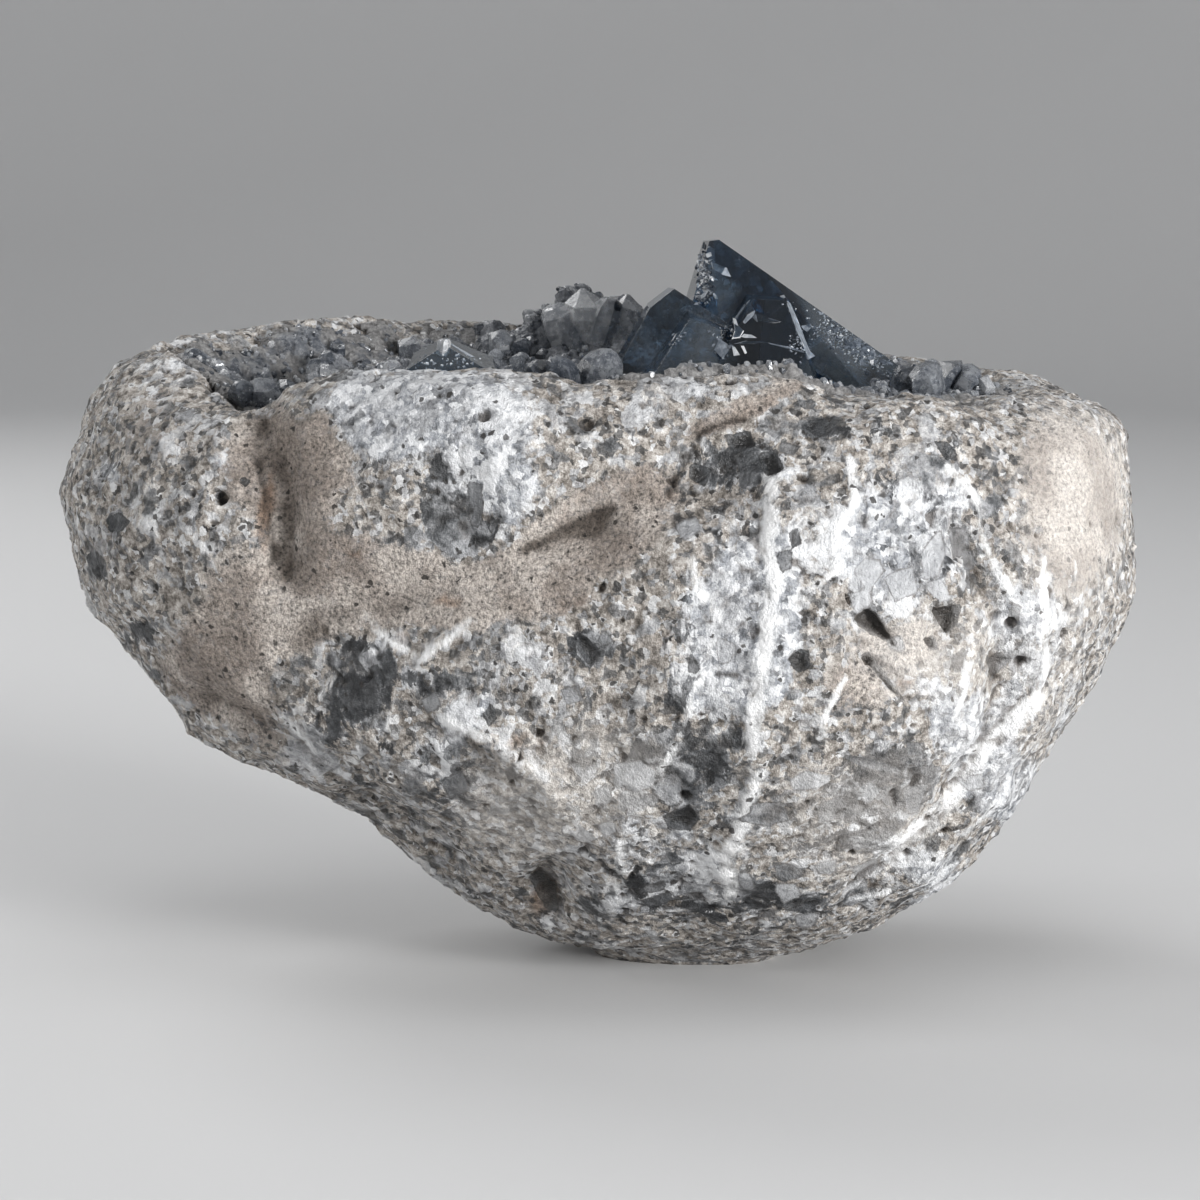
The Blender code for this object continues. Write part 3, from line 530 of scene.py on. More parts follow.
def grains(points, size, salt):
    """Splits space into angular grains of about that size: for each point, the distances to the nearest
    and the second grain's middle, the nearest grain's random numbers and the offset from its middle."""
    scaled = points / size
    cell = np.floor(scaled)
    first = np.full(len(points), 9.0)
    second = np.full(len(points), 9.0)
    chance = np.zeros((len(points), 3))
    offset = np.zeros((len(points), 3))
    for step_x in (-1, 0, 1):
        for step_y in (-1, 0, 1):
            for step_z in (-1, 0, 1):
                there = cell + (step_x, step_y, step_z)
                numbers = random_of_cells(there, salt)
                away = scaled - there - numbers
                distance = np.sqrt((away * away).sum(1))
                nearer = distance < first
                second = np.where(nearer, first, np.minimum(second, distance))
                first = np.where(nearer, distance, first)
                chance[nearer] = numbers[nearer]
                offset[nearer] = away[nearer]
    turned = random_of_cells(np.floor(chance * 4096), salt + 1)
    return first, second, turned, offset


def facets(points, size, salt, seam_width):
    """The height of flat-faced grains: each face slopes its own way and has a seam round it."""
    first, second, chance, offset = grains(points, size, salt)
    slope = ((chance - 0.5) * offset).sum(1)
    seam = 1 - smooth_step((second - first) / seam_width)
    return 1.5 * slope + 0.5 * (chance[:, 0] - 0.5) - 0.25 * seam


def picture_places(points):
    """Where the camera sees the points: across and down, in pixels of a 1200-pixel picture."""
    back = np.array(CAMERA_BACK)
    up = np.array(CAMERA_UP)
    distance = CAMERA_DISTANCE / MM
    away = points - (np.array(CAMERA_TARGET) / MM + back * distance)
    scale = distance / -(away @ back) * PICTURE / (VIEW_WIDTH / MM)
    return PICTURE / 2 + away[:, 0] * scale, PICTURE / 2 - (away @ up) * scale


def patches(across, down, table):
    """How much of a material there is at each place, from a table of round patches."""
    total = np.zeros(len(across))
    for middle_across, middle_down, reach_across, reach_down, turn, strength in table:
        angle = math.radians(turn)
        right = across - middle_across
        under = down - middle_down
        u = (right * math.cos(angle) - under * math.sin(angle)) / reach_across
        v = (right * math.sin(angle) + under * math.cos(angle)) / reach_down
        total += strength * np.exp(-(u * u + v * v) ** 1.4)
    return total


def lines(across, down, table):
    """How strongly each place lies on one of the lines, from 0 to 1."""
    total = np.zeros(len(across))
    for half_width, strength, corners in table:
        nearest = np.full(len(across), 999.0)
        for (u0, v0), (u1, v1) in zip(corners, corners[1:]):
            run = np.array((u1 - u0, v1 - v0), float)
            along = ((across - u0) * run[0] + (down - v0) * run[1]) / (run @ run)
            along = np.clip(along, 0, 1)
            nearest = np.minimum(nearest, np.hypot(across - u0 - along * run[0], down - v0 - along * run[1]))
        total = np.maximum(total, strength * np.exp(-((nearest / (1.5 * half_width)) ** 2)))
    return total


def sum_of_turns(corners):
    """Positive where the corners run clockwise in the picture."""
    return sum(u0 * v1 - u1 * v0 for (u0, v0), (u1, v1) in zip(corners, corners[1:] + corners[:1]))


def seats(across, down):
    """The flat-sided crystals of the front: how many pixels inside one each place is, how deep it lies there
    and the crystal's tone."""
    inside = np.full(len(across), -SEAT_LIMIT)
    depth = np.zeros(len(across))
    tone = np.zeros(len(across))
    for number, (shade, deep, corners) in enumerate(SEATS):
        area = sum_of_turns(corners)
        here = np.full(len(across), SEAT_LIMIT)
        for (u0, v0), (u1, v1) in zip(corners, corners[1:] + corners[:1]):
            length = math.hypot(u1 - u0, v1 - v0) * math.copysign(1, area)
            edge = ((u1 - u0) * (down - v0) - (v1 - v0) * (across - u0)) / length
            here = np.minimum(here, edge)
        middle = np.mean(corners, axis=0)
        reach = np.ptp(corners, axis=0).max() / 2
        way = math.tau * ((number * GOLDEN_TURN) % 1)
        slant = ((across - middle[0]) * math.cos(way) + (down - middle[1]) * math.sin(way)) / reach
        depth = np.maximum(depth, np.clip(here / SEAT_WALL, 0, 1) * deep * (1 + 0.5 * np.clip(slant, -1, 1)))
        tone = np.where(here > inside, shade, tone)
        inside = np.maximum(inside, here)
    return inside, depth, tone


def matrix_kinds(points):
    """What the stone is made of at each point: shares of clay, white spar and so on, from 0 to 1, with a
    paler share that is partly painted light, how far inside a seat it is and the seat's tone. Also how deep
    the seats lie."""
    across, down = picture_places(points)
    wide = [9.0 * fractal(points, 16, 3, offset) for offset in (3.0, 13.0)]
    fine = [3.0 * fractal(points, 4, 2, offset) for offset in (8.0, 18.0)]
    back = smooth_step(points[:, 1] / (2 * MATERIAL_SIDES) + 0.5)
    u = across + wide[0] + fine[0]
    v = down + wide[1] + fine[1]
    shares = {}
    for name, front_table, back_table in (
        ("clay", CLAY_FRONT, CLAY_BACK),
        ("white", WHITE_FRONT, WHITE_BACK),
        ("glass", GLASS_FRONT, GLASS_BACK),
        ("pale", PALE_AND_PAINTED_LIGHT_FRONT, PALE_BACK),
        ("brown", BROWN_FRONT, BROWN_BACK),
    ):
        shares[name] = (1 - back) * patches(u, v, front_table) + back * patches(u, v, back_table)
    front = 1 - back
    u = across + fine[0]
    v = down + fine[1]
    shares["vein"] = front * lines(u, v, VEINS) * (0.75 + 0.5 * fractal(points, 5, 3, 23.0))
    wild = 1 - np.abs(fractal(points, 26, 4, 27.0)) * 7
    wild = smooth_step(wild) * smooth_step(1.5 * fractal(points, 40, 2, 37.0) + 0.1)
    shares["vein"] = np.maximum(shares["vein"], (0.25 + 0.6 * back) * wild)
    shares["seam"] = front * lines(across + 0.3 * fine[0], down + 0.3 * fine[1], SEAMS)
    shares["white"] += 0.45 * smooth_step(1.6 * fractal(points, 12, 4, 31.0))
    shares["glass"] += 0.45 * smooth_step(1.6 * fractal(points, 10, 4, 47.0) - 0.1)
    shares["clay"] += 0.25 * smooth_step(1.4 * fractal(points, 24, 3, 59.0) - 0.1)
    shares["clay"] = smooth_step(shares["clay"])
    shares["white"] = smooth_step(shares["white"]) * (1 - 0.8 * shares["clay"])
    shares["glass"] = smooth_step(shares["glass"]) * (1 - 0.9 * shares["clay"])
    shares["pale"] = smooth_step(shares["pale"])
    shares["brown"] = smooth_step(shares["brown"])
    inside, depth, tone = seats(across + 0.3 * fine[0], down + 0.3 * fine[1])
    shares["seat"] = np.where(back < 0.5, inside * FRONT_PIXEL, -2.0)
    shares["seat_tone"] = tone
    return shares, depth * (back < 0.5)


def evened(values, edges, times):
    """Spreads each point's value to its neighbours, a few times over."""
    count = np.bincount(edges.ravel(), minlength=len(values)).astype(float)
    for _ in range(times):
        total = np.bincount(edges[:, 0], values[edges[:, 1]], len(values))
        total += np.bincount(edges[:, 1], values[edges[:, 0]], len(values))
        values = 0.5 * values + 0.5 * total / np.maximum(count, 1)
    return values


def mesh_edges(mesh):
    values = np.empty(len(mesh.edges) * 2, int)
    mesh.edges.foreach_get("vertices", values)
    return values.reshape(-1, 2)


def applied(obj):
    """Bakes the object's modifiers into its mesh."""
    graph = bpy.context.evaluated_depsgraph_get()
    baked = bpy.data.meshes.new_from_object(obj.evaluated_get(graph))
    obj.modifiers.clear()
    obj.data = baked


def new_object(name, data):
    obj = bpy.data.objects.new(name, data)
    bpy.context.scene.collection.objects.link(obj)
    return obj


def welded_copy(name, node):
    """A new object with a copy of a solid's mesh, whose double points are to be joined."""
    obj = new_object(name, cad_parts[node].data.copy())
    weld = obj.modifiers.new("weld", "WELD")
    weld.merge_threshold = WELD_DISTANCE
    return obj


def remeshed(obj, cell):
    """Gives an object a fine even mesh of that cell, in millimetres."""
    fine = obj.modifiers.new("fine", "REMESH")
    fine.mode = "VOXEL"
    fine.voxel_size = cell * MM


def thinned(obj, triangles):
    """Brings a mesh of four-sided faces down to about that many triangles."""
    thin = obj.modifiers.new("thin", "DECIMATE")
    thin.ratio = min(1.0, triangles / (2 * len(obj.data.polygons)))
    applied(obj)


def set_relief(mesh, points):
    """Keeps how far each point stands out from its surroundings, in millimetres."""
    edges = mesh_edges(mesh)
    even = np.column_stack([evened(points[:, axis], edges, RELIEF_SPREAD) for axis in range(3)])
    set_values(mesh, "relief", ((points - even) * mesh_normals(mesh)).sum(1))


def count_triangles(mesh):
    return sum(len(face.vertices) - 2 for face in mesh.polygons)


def make_stone(low, high):
    """The stone, as a fine mesh with its grain, its torn-out seats and its pits."""
    stone = welded_copy("stone", "rock")
    remeshed(stone, STONE_GRID)
    rounding = stone.modifiers.new("rounding", "SMOOTH")
    rounding.iterations = ROUNDING
    rounding.factor = 0.6
    applied(stone)
    mesh = stone.data
    points = mesh_points(mesh)
    normals = mesh_normals(mesh)
    shares, depth = matrix_kinds(points)
    clay = shares["clay"]
    rough = (1 - 0.85 * clay) * (1 - 0.75 * smooth_step(shares["seat"] + 0.3))

    height = 0.55 * fractal(points, 11, 5, 71.0) * rough
    height += 0.20 * fractal(points, 4, 4, 83.0) * (1 - 0.6 * clay)
    for size, tall, salt in STONE_GRAINS:
        height += tall * rough * facets(points, size, salt, 0.14)
    for size, share, deep, salt in STONE_PITS:
        first, _, chance, _ = grains(points, size, salt)
        reach = 0.16 + 0.16 * chance[:, 1]
        pit = smooth_step((reach - first) / 0.10) * (chance[:, 0] < 0.03 + share * rough)
        height -= deep * (0.5 + chance[:, 2]) * pit
    height += 0.40 * shares["vein"] - 0.7 * shares["seam"] - depth - 0.25

    foot = smooth_step((points[:, 2] - FLAT_FOOT) / FOOT_BLEND)
    height *= foot
    points += normals * height[:, None]
    points = np.clip(points, np.array(low) / MM + STONE_GAP, np.array(high) / MM - STONE_GAP)
    points[:, 2] = np.where(foot <= 0, 0.0, np.maximum(points[:, 2], 0.0))
    place_points(mesh, points)
    thinned(stone, STONE_TRIANGLES)

    mesh = stone.data
    mesh.shade_smooth()
    points = mesh_points(mesh)
    set_relief(mesh, points)
    for name, values in matrix_kinds(points)[0].items():
        set_values(mesh, name, values)
    set_values(mesh, "cloud", 0.5 + fractal(points, 15, 3, 91.0))
    shifted = points + 0.5 * np.column_stack([fractal(points, 3, 2, offset) for offset in (4.0, 14.0, 24.0)])
    for name, size, salt in STONE_SPAR:
        chance = grains(shifted, size, salt)[2]
        set_values(mesh, name + "_tone", chance[:, 0])
        set_values(mesh, name + "_chance", chance[:, 1])
    print("stone", count_triangles(mesh), "triangles")
    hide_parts("rock")
    return stone


def add_node(tree, kind, inputs=(), **settings):
    """A shader node with its settings and its input values or links."""
    node = tree.nodes.new(kind)
    for name, value in settings.items():
        setattr(node, name, value)
    for key, value in dict(inputs).items():
        if isinstance(value, bpy.types.NodeSocket):
            tree.links.new(value, node.inputs[key])
        else:
            node.inputs[key].default_value = value
    return node


def ramp(tree, factor, stops):
    """A colour ramp of (position, colour) stops."""
    node = add_node(tree, "ShaderNodeValToRGB", {0: factor})
    band = node.color_ramp
    while len(band.elements) < len(stops):
        band.elements.new(0.5)
    for element, (position, colour) in zip(band.elements, stops):
        element.position = position
        element.color = (*colour, 1.0)
    return node.outputs[0]


def mix(tree, factor, a, b):
    node = add_node(tree, "ShaderNodeMix", data_type="RGBA")
    for socket, value in ((node.inputs[0], factor), (node.inputs[6], a), (node.inputs[7], b)):
        if isinstance(value, bpy.types.NodeSocket):
            tree.links.new(value, socket)
        elif isinstance(value, tuple):
            socket.default_value = (*value, 1.0)
        else:
            socket.default_value = value
    return node.outputs[2]


def multiply(tree, factor, a, b):
    colour = mix(tree, factor, a, b)
    colour.node.blend_type = "MULTIPLY"
    return colour


def maths(tree, operation, a, b=0.0, c=0.0):
    return add_node(tree, "ShaderNodeMath", {0: a, 1: b, 2: c}, operation=operation).outputs[0]


def between(tree, value, low, high):
    """0 below low, 1 above high, and smooth between them."""
    node = add_node(
        tree,
        "ShaderNodeMapRange",
        {"Value": value, "From Min": low, "From Max": high},
        interpolation_type="SMOOTHSTEP",
    )
    return node.outputs[0]


def attribute(tree, name):
    return add_node(tree, "ShaderNodeAttribute", attribute_name=name).outputs["Fac"]


def noise_of(tree, place, wavelength, detail=3.0, roughness=0.6, distortion=0.0):
    """Noise whose widest waves are that many millimetres long."""
    node = add_node(
        tree,
        "ShaderNodeTexNoise",
        {
            "Vector": place,
            "Scale": 1 / (wavelength * MM),
            "Detail": detail,
            "Roughness": roughness,
            "Distortion": distortion,
        },
    )
    return node.outputs["Fac"]


def wavy(tree, value, waves, gain):
    """A value that noise, 0.5 on average, moves up and down."""
    return maths(tree, "MULTIPLY_ADD", maths(tree, "SUBTRACT", waves, 0.5), gain, value)


def new_material(name):
    material = bpy.data.materials.new(name)
    material.use_nodes = True
    return material, material.node_tree, material.node_tree.nodes["Principled BSDF"]


def new_spar(name, transmission):
    """A material of spar, with its node tree, its shader and the place on the object."""
    material, tree, shader = new_material(name)
    shader.inputs["Transmission Weight"].default_value = transmission
    shader.inputs["IOR"].default_value = SPAR_IOR
    return material, tree, shader, add_node(tree, "ShaderNodeTexCoord").outputs["Object"]


def set_surface(tree, shader, colour, roughness, height, strength, distance):
    """Gives the shader a colour, a roughness and a bump of that strength and distance in millimetres."""
    settings = {"Height": height, "Strength": strength, "Distance": distance * MM}
    bump = add_node(tree, "ShaderNodeBump", settings)
    for name, value in (("Base Color", colour), ("Roughness", roughness), ("Normal", bump.outputs[0])):
        tree.links.new(value, shader.inputs[name])


def vector_maths(tree, operation, a, b, c=(0.0, 0.0, 0.0)):
    return add_node(tree, "ShaderNodeVectorMath", {0: a, 1: b, 2: c}, operation=operation).outputs["Vector"]


def cells(tree, place, size):
    """Angular grains of about that many millimetres: two random numbers for each and the distance from
    its middle."""
    node = add_node(tree, "ShaderNodeTexVoronoi", {"Vector": place, "Scale": 1 / (size * MM)})
    split = add_node(tree, "ShaderNodeSeparateColor", {0: node.outputs["Color"]})
    return split.outputs[0], split.outputs[1], node.outputs["Distance"]


SPAR_RAMP = (
    (0.00, (0.012, 0.013, 0.015)),
    (0.28, (0.055, 0.059, 0.064)),
    (0.50, (0.185, 0.190, 0.198)),
    (0.74, (0.440, 0.446, 0.460)),
    (1.00, (0.740, 0.745, 0.755)),
)


def stone_material():
    """Tan clay and grey matrix, full of angular spar from black glass to white, with white veins."""
    material, tree, shader = new_material("matrix_rock")
    place = add_node(tree, "ShaderNodeTexCoord").outputs["Object"]
    clay, white, glass, pale, brown, vein, seam, seat, relief, cloud = [
        attribute(tree, name)
        for name in ("clay", "white", "glass", "pale", "brown", "vein", "seam", "seat", "relief", "cloud")
    ]
    wander = add_node(tree, "ShaderNodeTexNoise", {"Vector": place, "Scale": 1 / (1.4 * MM), "Detail": 2.0})
    shift = vector_maths(tree, "SUBTRACT", wander.outputs["Color"], (0.5, 0.5, 0.5))
    bent = vector_maths(tree, "MULTIPLY_ADD", shift, (1.7 * MM, 1.7 * MM, 1.7 * MM), place)

    sand = noise_of(tree, place, 0.7, 2.0, 0.8)
    blotch = noise_of(tree, place, 2.0, 4.0, 0.8)
    long = vector_maths(tree, "MULTIPLY", place, (1.0, 1.0, 0.36))
    marble = noise_of(tree, long, 3.0, 4.0, 0.75, 0.6)

    is_clay = between(tree, wavy(tree, clay, blotch, 1.5), 0.34, 0.66)
    is_white = between(tree, wavy(tree, white, marble, 1.7), 0.28, 0.72)
    is_glass = between(tree, wavy(tree, glass, marble, -1.7), 0.32, 0.72)

    # The clay and the matrix that holds the spar.
    clay_colour = ramp(
        tree,
        wavy(tree, cloud, marble, 0.9),
        ((0.20, (0.190, 0.160, 0.138)), (0.50, (0.270, 0.235, 0.207)), (0.80, (0.370, 0.333, 0.300))),
    )
    sand_grains = ramp(tree, sand, ((0.28, (0.10,) * 3), (0.42, (0.74,) * 3), (0.70, (1.80,) * 3)))
    clay_colour = multiply(tree, 1.0, clay_colour, sand_grains)
    matrix_colour = ramp(
        tree,
        blotch,
        (
            (0.30, (0.050, 0.044, 0.038)),
            (0.42, (0.185, 0.165, 0.145)),
            (0.54, (0.400, 0.370, 0.338)),
            (0.68, (0.720, 0.700, 0.675)),
        ),
    )
    white_fuzz = ramp(
        tree,
        maths(tree, "ADD", maths(tree, "MULTIPLY", blotch, 0.55), maths(tree, "MULTIPLY", marble, 0.45)),
        (
            (0.36, (0.110, 0.117, 0.130)),
            (0.46, (0.270, 0.282, 0.302)),
            (0.55, (0.470, 0.480, 0.500)),
            (0.68, (0.760, 0.760, 0.768)),
        ),
    )
    colour = mix(tree, is_white, matrix_colour, white_fuzz)

    # The broken crystals in it: a fine size, then three kept on the mesh, two of which follow its facets.
    shine = 0.0
    shade_shift = maths(tree, "MULTIPLY_ADD", is_white, 0.34, maths(tree, "MULTIPLY", is_glass, -0.30))
    shade_shift = wavy(tree, shade_shift, blotch, 1.1)
    more = maths(tree, "MULTIPLY_ADD", is_glass, 0.55, maths(tree, "MULTIPLY", is_white, 0.08))
    fine_tone, fine_chance, fine_distance = cells(tree, bent, 1.15)
    for tone, chance, plenty, cover, soft in (
        (fine_tone, fine_chance, 0.42, 0.75, 0.02),
        (attribute(tree, "small_tone"), attribute(tree, "small_chance"), 0.30, 0.75, 0.20),
        (attribute(tree, "large_tone"), attribute(tree, "large_chance"), 0.22, 0.80, 0.16),
        (attribute(tree, "broad_tone"), attribute(tree, "broad_chance"), 0.07, 0.80, 0.10),
    ):
        share = maths(tree, "ADD", more, plenty)
        is_spar = between(tree, maths(tree, "SUBTRACT", share, chance), 0.0, soft)
        spar_colour = ramp(tree, maths(tree, "ADD", tone, shade_shift), SPAR_RAMP)
        colour = mix(tree, maths(tree, "MULTIPLY", is_spar, cover), colour, spar_colour)
        shine = maths(tree, "MULTIPLY_ADD", is_spar, 0.3, shine)
    colour = mix(tree, maths(tree, "MULTIPLY", is_clay, 0.90), colour, clay_colour)

    # White veins, dark specks and seams, seats with glassy walls, stains, paler patches that are partly
    # painted light, and painted shade in the hollows.
    on_vein = between(tree, wavy(tree, vein, marble, 1.5), 0.26, 0.80)
    colour = mix(tree, maths(tree, "MULTIPLY", on_vein, 0.90), colour, (0.86, 0.86, 0.86))
    speck_share = maths(tree, "MULTIPLY_ADD", is_white, -0.03, 0.06)
    is_speck = between(tree, maths(tree, "SUBTRACT", speck_share, fine_chance), 0.0, 0.01)
    speck = maths(tree, "MULTIPLY", is_speck, between(tree, fine_distance, 0.50, 0.34))
    colour = mix(tree, maths(tree, "MULTIPLY", speck, 0.9), colour, (0.018, 0.015, 0.013))
    # The seats take their tone; in the deep ones the dark tone is partly painted shade.
    in_seat = between(tree, wavy(tree, seat, blotch, 1.6), -0.06, 0.14)
    seat_tone = wavy(tree, attribute(tree, "seat_tone"), marble, 0.75)
    colour = mix(tree, maths(tree, "MULTIPLY", in_seat, 0.86), colour, ramp(tree, seat_tone, SPAR_RAMP))
    rim = maths(tree, "MULTIPLY", in_seat, between(tree, seat, 0.40, 0.05))
    colour = multiply(tree, maths(tree, "MULTIPLY", rim, 0.7), colour, (0.25, 0.23, 0.21))
    colour = multiply(tree, maths(tree, "MULTIPLY", seam, 0.95), colour, (0.10, 0.085, 0.075))
    stain = between(tree, wavy(tree, brown, blotch, 0.9), 0.15, 1.1)
    colour = multiply(tree, stain, colour, (0.60, 0.48, 0.40))
    # Paler patches, partly the stone's own colour and partly painted light.
    lighter = mix(tree, 1.0, colour, (0.52, 0.49, 0.46))
    lighter.node.blend_type = "SCREEN"
    lift = between(tree, wavy(tree, pale, blotch, 1.1), 0.2, 1.0)
    colour = mix(tree, maths(tree, "MULTIPLY", lift, 0.42), colour, lighter)
    # Painted shade: darker where the surface lies below its surroundings, in pits, seams and hollows.
    low = between(tree, relief, 0.02, -0.60)
    colour = multiply(tree, maths(tree, "MULTIPLY", low, 0.85), colour, (0.20, 0.175, 0.155))

    shine = maths(tree, "MULTIPLY", shine, maths(tree, "SUBTRACT", 1.0, is_clay))
    shine = maths(tree, "MAXIMUM", shine, maths(tree, "MULTIPLY", in_seat, 1.1))
    roughness = maths(tree, "MULTIPLY_ADD", shine, -0.50, 0.90)
    grit = maths(tree, "MULTIPLY_ADD", blotch, 0.75, maths(tree, "MULTIPLY", sand, 0.42))
    set_surface(tree, shader, colour, roughness, grit, 1.0, 1.0)
    return material


def crystal_material(name, roughness, absorbed, density):
    """Clear spar with a little haze: plain transmission, with its colour taken up inside."""
    material, tree, shader, place = new_spar(name, 0.95)
    cloudy = noise_of(tree, place, 7.0, 4.0, 0.65, 0.5)
    # Haze and painted shade set the colour: low values paint the crystal dark navy.
    haze_and_painted_shade = wavy(tree, attribute(tree, "haze_and_painted_shade"), cloudy, 1.6)
    colour = ramp(
        tree, haze_and_painted_shade, ((0.0, (0.10, 0.14, 0.19)), (0.40, (0.40, 0.53, 0.66)), (1.0, (0.80, 0.91, 1.0)))
    )
    frost = between(tree, cloudy, 0.54, 0.72)
    frosted = maths(tree, "MULTIPLY_ADD", frost, 0.14, roughness)
    set_surface(tree, shader, colour, frosted, cloudy, 0.15, 0.4)
    inside = add_node(
        tree, "ShaderNodeVolumeAbsorption", {"Color": (*absorbed, 1.0), "Density": density}
    )
    tree.links.new(inside.outputs[0], tree.nodes["Material Output"].inputs["Volume"])
    return material


def crumb_and_painted_glint_material():
    """Broken spar, and flashes whose pale colour is a painted reflection of light."""
    material, tree, shader, place = new_spar("spar_crumbs_and_painted_glints", 0.1)
    cloudy = noise_of(tree, place, 1.6, 3.0, 0.7)
    tone = wavy(tree, attribute(tree, "tone"), cloudy, 0.8)
    colour = ramp(
        tree,
        tone,
        (
            (0.10, (0.03, 0.04, 0.055)),
            (0.40, (0.12, 0.14, 0.17)),
            (0.65, (0.36, 0.40, 0.45)),
            (0.90, (0.92, 0.94, 0.96)),
        ),
    )
    tree.links.new(colour, shader.inputs["Base Color"])
    shader.inputs["Roughness"].default_value = 0.25
    return material


def druse_material():
    """The small crystals: half clear, from smoky blue-grey to milky white."""
    material, tree, shader, place = new_spar("small_crystals", 0.5)
    cloudy = noise_of(tree, place, 2.2, 4.0, 0.75)
    tone = wavy(tree, attribute(tree, "tone"), cloudy, 1.2)
    colour = ramp(
        tree,
        tone,
        (
            (0.05, (0.030, 0.039, 0.054)),
            (0.30, (0.125, 0.140, 0.166)),
            (0.55, (0.340, 0.358, 0.386)),
            (0.90, (0.740, 0.750, 0.765)),
        ),
    )
    roughness = maths(tree, "MULTIPLY_ADD", between(tree, cloudy, 0.38, 0.66), 0.35, 0.10)
    set_surface(tree, shader, colour, roughness, cloudy, 0.5, 0.5)
    return material


def crust_material():
    """The crust of the hollow: cloudy grey spar, and fine grey rock towards the rim."""
    material, tree, shader, place = new_spar("crystal_crust", 0.20)
    cloudy = noise_of(tree, place, 2.6, 5.0, 0.8)
    grain = noise_of(tree, place, 0.8, 3.0, 0.8)
    rim = between(tree, wavy(tree, attribute(tree, "rim"), cloudy, 1.0), 0.3, 0.7)
    tones = maths(tree, "ADD", attribute(tree, "large_tone"), attribute(tree, "small_tone"))
    tone = maths(tree, "MULTIPLY_ADD", tones, 0.22, maths(tree, "MULTIPLY_ADD", cloudy, 1.1, -0.30))
    # Painted shade: the crust's tone is lowered where it lies in shadow.
    tone = maths(tree, "MULTIPLY_ADD", attribute(tree, "shade"), -0.22, tone)
    spar = ramp(
        tree,
        tone,
        (
            (0.10, (0.026, 0.032, 0.042)),
            (0.34, (0.088, 0.098, 0.116)),
            (0.56, (0.220, 0.232, 0.252)),
            (0.80, (0.500, 0.510, 0.525)),
        ),
    )
    rock = ramp(
        tree,
        maths(tree, "MULTIPLY_ADD", grain, 0.5, maths(tree, "MULTIPLY", cloudy, 0.5)),
        (
            (0.34, (0.035, 0.034, 0.034)),
            (0.46, (0.150, 0.146, 0.144)),
            (0.56, (0.290, 0.284, 0.280)),
            (0.68, (0.560, 0.555, 0.550)),
        ),
    )
    colour = mix(tree, rim, spar, rock)
    # Painted shade: darker where the crust lies below its surroundings, between its crystals.
    low = between(tree, attribute(tree, "relief"), 0.02, -0.70)
    colour = multiply(tree, maths(tree, "MULTIPLY", low, 0.8), colour, (0.24, 0.24, 0.25))
    roughness = maths(tree, "MULTIPLY_ADD", rim, 0.45, 0.24)
    height = maths(tree, "MULTIPLY_ADD", grain, 0.35, maths(tree, "MULTIPLY", cloudy, 0.8))
    set_surface(tree, shader, colour, roughness, height, 0.8, 1.0)
    return material


def set_material(obj, material):
    obj.data.materials.clear()
    obj.data.materials.append(material)


def divided(obj, longest):
    """Splits a mesh into triangles and halves the sides that are longer than that many millimetres."""
    bm = bmesh.new()
    bm.from_mesh(obj.data)
    bmesh.ops.triangulate(bm, faces=bm.faces)
    for _ in range(HALVINGS):
        edges = [edge for edge in bm.edges if edge.calc_length() > longest * MM]
        bmesh.ops.subdivide_edges(bm, edges=edges, cuts=1)
        bmesh.ops.triangulate(bm, faces=[face for face in bm.faces if len(face.verts) > 3])
    bm.to_mesh(obj.data)
    bm.free()


def make_crust(stone):
    """The crust of the hollow: interlocked flat-faced crystals that grow finer towards the rim."""
    crust = welded_copy("crust", "crystal_crust")
    remeshed(crust, CRUST_GRID)
    applied(crust)
    points = mesh_points(crust.data)
    normals = mesh_normals(crust.data)
    stone_tree = search_tree(stone)
    to_stone = np.array([stone_tree.find_nearest(point)[3] for point in points.tolist()])
    inner = smooth_step(to_stone / RIM_WIDTH)
    height = 0.35 + 1.0 * (1 - inner) + 0.35 * fractal(points, 5, 4, 111.0)
    for size, tall, salt in CRUST_GRAINS:
        height += tall * (0.35 + 0.65 * inner) * facets(points, size, salt, 0.16)
    points += normals * height[:, None]
    place_points(crust.data, points)
    thinned(crust, CRUST_TRIANGLES)

    mesh = crust.data
    points = mesh_points(mesh)
    set_relief(mesh, points)
    to_stone = np.array([stone_tree.find_nearest(point)[3] for point in points.tolist()])
    set_values(mesh, "rim", 1 - smooth_step((to_stone + 2.5 * fractal(points, 9, 3, 121.0)) / RIM_WIDTH))
    across, down = picture_places(points)
    # Painted shade on the crust, where the rim and the dark crystals shadow it.
    set_values(mesh, "shade", smooth_step(patches(across, down, PAINTED_SHADE_ON_CRUST)))
    for name, (size, _, salt) in zip(("large", "small"), CRUST_GRAINS):
        set_values(mesh, name + "_tone", grains(points, size, salt)[2][:, 0])
    print("crust", count_triangles(mesh), "triangles")
    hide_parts("crystal_crust")
    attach(crust, "root")
    return crust


